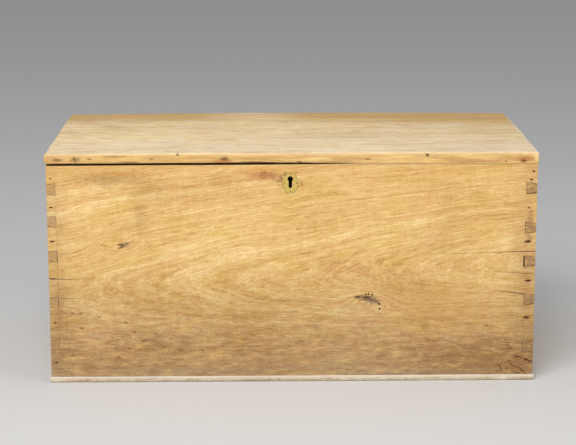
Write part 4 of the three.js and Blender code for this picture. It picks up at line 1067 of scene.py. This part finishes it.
# %% Back, ends, bottom and till
PLAIN_BOARDS = (
    # node, slot, material, width of the bevel in millimetres, its segments
    ("left_end_board", "camphor_wood", end_materials["left"], 0.5, 2),
    ("right_end_board", "camphor_wood", end_materials["right"], 0.5, 2),
    ("till_side", "till_wood", till_material, 0.8, 3),
    ("till_floor", "till_wood", till_material, 0.4, 3),
)
for seed, (node, slot, material, bevel, segments) in enumerate(PLAIN_BOARDS, 2):
    board = worn_board(node, bevel, {2: 30}, 0.15, 0.2, seed, segments)
    show(add_piece(node + "_worn", board, "carcase", material, [node]))

back_mesh = worn_board("back_board", 0.9, {2: 30}, 0.15, 0.2, 1)
back_nails = wall_nails(BACK_NAILS, BACK_FACE)
cutters = bmesh.new()
add_pockets(cutters, back_nails)
back_mesh = cut_away(back_mesh, cutters)
show(add_piece("back_board_worn", back_mesh, "carcase", back_material, ["back_board"]))

# %% [markdown]
# The bottom's nails stand in a row under each wall, not quite evenly. The edges of the bottom boards that
# stand out past the walls are the most knocked about.

# %% Bottom boards
UPWARDS = Vector((0.0, 0.0, 1.0))
NAIL_SWAY = 6 * MM
EDGE_WEAR = Vector((0.0, 0.5, 0.35)) * MM
KNOCKS_ALONG, KNOCKS_UP = 26, 90  # how closely the knocks follow each other
nail_places = []
# millimetres along the long walls, then along the short ones
for x_mm in range(-440, 441, 110):
    for y in (FRONT_FACE + BOARD / 2, BACK_FACE - BOARD / 2):
        sway = NAIL_SWAY * noise.noise(Vector((x_mm, y, 0.5)))
        nail_places.append(Vector((x_mm * MM + sway, y, 0.0)))
for y_mm in range(-170, 171, 85):
    for x in (-END_FACE + BOARD / 2, END_FACE - BOARD / 2):
        nail_places.append(Vector((x, y_mm * MM, 0.0)))
bottom_nails = [(place, BOTTOM_NAIL_REACH, UPWARDS) for place in nail_places]

for seed, node in enumerate(("bottom_board_front", "bottom_board_back"), 11):
    low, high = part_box(node)
    board = welded_copy(node)
    soften(board, 1.0 * MM, 3)
    slice_along(board, 0, 9 * MM)
    for vertex in board.verts:
        knocks = noise.noise(Vector((vertex.co.x * KNOCKS_ALONG, seed, vertex.co.z * KNOCKS_UP)))
        if abs(vertex.co.y) > BACK_FACE or abs(vertex.co.x) > END_FACE:
            vertex.co.y += EDGE_WEAR.y * knocks
            vertex.co.z += EDGE_WEAR.z * knocks * (vertex.co.z > 4 * MM)
    cutters = bmesh.new()
    add_pockets(cutters, [nail for nail in bottom_nails if low.y < nail[0].y < high.y])
    board = cut_away(board, cutters)
    show(add_piece(node + "_worn", board, "carcase", bottom_material, [node]))

# %% [markdown]
# ## The lid
#
# One wide plank. It has crowned a little towards the back, its long arrises are rounded and uneven, and
# its lower front arris has small bites where it was levered or knocked. Left of the middle it no longer
# quite meets the front, so a dark line shows there. The battens below keep it flat.

# %% Lid and battens
LID_BITES = (
    # x, half width, half height
    (-421, 4.2, 1.7), (-380, 3.2, 1.2), (-303, 3.4, 1.3), (-141, 3.0, 1.2), (-72, 4.5, 1.2), (15, 4.6, 1.8),
)
BITE_DEPTH = 3 * MM
LID_SPLITS = (
    ((-446, 477, 0.3), (-440, 470, 1.6), (-436, 460.5, 0.8)),
    ((430, 466, 0.1), (470, 464.8, 0.8), (497, 465.4, 0.3)),
)
LID_CROWN = 2.6 * MM
LID_LIFT = 4.2 * MM
END_SWAY = 3.6  # millimetres that the sawn ends stray
NARROWED = 2.6  # millimetres that each end draws in towards the back


def worn_lid(co):
    """Where a point of the true plank has moved to."""
    along = co.x / END_FACE
    back = (co.y - lid_low.y) / (lid_high.y - lid_low.y)
    top = (co.z - LID_FOOT) / (LID_TOP - LID_FOOT)
    crown = LID_CROWN * (1 - along**2) * (0.25 + 0.75 * back) * top
    lift = LID_LIFT * left_share(along, 0.13) * (1.0 + 0.35 * along)
    lift *= max(0.0, 1.0 - back / 0.06) * (1.0 - top) ** 2  # only the lower front arris lifts
    wave = noise.noise_vector(Vector((co.x * 9, co.y * 9, 3.0)))
    grit = noise.noise_vector(Vector((co.x * 55, co.y * 55, co.z * 60)))
    side = max(0.0, (abs(along) - 0.9) / 0.1)  # only the ends stray
    narrowed = NARROWED * back**3
    return Vector((
        co.x + side * (END_SWAY * wave.x - math.copysign(narrowed, along)) * MM,
        co.y + (0.5 * wave.y + 0.25 * grit.y) * MM * (1 if back < 0.1 or back > 0.9 else 0.3),
        co.z + crown + lift + 0.3 * MM * grit.z * (back < 0.02),
    ))


lid_mesh = welded_copy("lid_board")
slice_along(lid_mesh, 0, 8 * MM)
slice_along(lid_mesh, 1, 20 * MM)
for vertex in lid_mesh.verts:
    vertex.co = worn_lid(vertex.co)
cutters = bmesh.new()
for x_mm, across, up in LID_BITES:
    place = Vector((x_mm * MM, lid_face, LID_FOOT + 1 * MM))
    add_pocket(cutters, place, (across * MM, BITE_DEPTH, up * MM))
for path in LID_SPLITS:
    add_split(cutters, path_of(path), SPLIT_DEPTH, lid_face)
lid_mesh = cut_away(lid_mesh, cutters, crossing=True)
show(add_piece("lid_board_worn", lid_mesh, "lid", lid_material, ["lid_board"]))

for node in ("lid_batten_left", "lid_batten_right"):
    batten = worn_board(node, 0.8, {1: 25}, 0.2, 0.15, 20)
    show(add_piece(node + "_worn", batten, "lid", batten_material, [node]))

# %% [markdown]
# ## Ironwork, lock and escutcheon
#
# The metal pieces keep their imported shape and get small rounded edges. Each screw also gets its slot, cut
# with one turned blade, because a screwdriver never leaves two slots at the same angle.

# %% Softened metal pieces
METALS = {"iron": iron, "steel": steel, "brass": dull_brass}
METAL_BEVEL, SCREW_BEVEL = 0.3 * MM, 0.15 * MM
SLOT_LENGTH = 9 * MM
SLOT_WIDTH = 0.7 * MM
SLOT_DEPTH = 0.8 * MM
SLOT_TURN = 1.7  # radians from one screw to the next


def slot_cutter(mesh, turn):
    """A blade across the head of a screw, turned about the screw's axis."""
    corners = [vertex.co for vertex in mesh.verts]
    low = Vector([min(corner[axis] for corner in corners) for axis in range(3)])
    high = Vector([max(corner[axis] for corner in corners) for axis in range(3)])
    middle, size = (low + high) / 2, high - low
    along = max(range(3), key=lambda axis: size[axis])
    widest = max(corners, key=lambda corner: (corner - middle).length - abs(corner[along] - middle[along]))
    outward = Vector((0.0, 0.0, 0.0))
    outward[along] = math.copysign(1.0, widest[along] - middle[along])
    top = middle + outward * size[along] / 2
    turned = outward.to_track_quat("Z", "Y").to_matrix().to_4x4() @ Matrix.Rotation(turn, 4, "Z")
    blade = bmesh.new()
    stretch = Matrix.Diagonal((SLOT_LENGTH, SLOT_WIDTH, 2 * SLOT_DEPTH, 1.0))
    bmesh.ops.create_cube(blade, size=1.0, matrix=Matrix.Translation(top) @ turned @ stretch)
    return blade


slot_of = {entry["node"]: entry["material_slot"] for entry in frame["record"]["subparts"]}
body_of = {node: body for body, nodes in frame["record"]["behaviour"]["bodies"].items() for node in nodes}
for number, (node, slot) in enumerate(sorted(slot_of.items())):
    if slot not in METALS or node == "escutcheon":
        continue
    metal = welded_copy(node)
    soften(metal, SCREW_BEVEL if "screw" in node else METAL_BEVEL, 1)
    if "screw" in node:
        metal = cut_away(metal, slot_cutter(metal, SLOT_TURN * number))
    add_piece(node + "_worn", metal, body_of[node], METALS[slot], [node])
print("metal pieces softened:", sum(slot in METALS for slot in slot_of.values()) - 1)

# %% [markdown]
# The escutcheon is stamped from thin sheet, which leaves it slightly domed. Slicing the flat oval into small
# squares gives points to push out, most in the middle and none at the border.

# %% Escutcheon
ESCUTCHEON_DOME = 0.7 * MM
brass_low, brass_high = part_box("escutcheon")
brass_middle, brass_half = (brass_low + brass_high) / 2, (brass_high - brass_low) / 2
oval = welded_copy("escutcheon")
soften(oval, 0.3 * MM, 3)
slice_along(oval, 0, 2.5 * MM)
slice_along(oval, 2, 2.5 * MM)
for vertex in oval.verts:
    off = vertex.co - brass_middle
    if vertex.co.y < FRONT_FACE:
        vertex.co.y -= ESCUTCHEON_DOME * (1.0 - (off.x / brass_half.x) ** 2 - (off.z / brass_half.z) ** 2)
show(add_piece("escutcheon_domed", oval, "carcase", brass, ["escutcheon"]))

# %% [markdown]
# Four small pins hold the escutcheon. Their heads are flattened balls, tarnished darker than the plate.

# %% Escutcheon pins
PIN_PLACES = ((-16, 419), (9, 419), (-4, 403), (-4, 438))  # x and z of each
PIN_REACH = Vector((1.3, 0.8, 1.3)) * MM
pins = bmesh.new()
for x_mm, z_mm in PIN_PLACES:
    add_pocket(pins, Vector((x_mm * MM, brass_low.y, z_mm * MM)), PIN_REACH, 10)
show(add_piece("escutcheon_pins", pins, "carcase", tarnished))

# %% [markdown]
# The nails were driven through the tails and through the bottom. Only their rusty heads show, and each is a
# flattened ball that sits just inside the pocket already cut for it.

# %% Nails
for name, places in (("front", front_nails), ("back", back_nails), ("bottom", bottom_nails)):
    heads = bmesh.new()
    add_heads(heads, places)
    show(add_piece(name + "_nails", heads, "carcase", rusty))
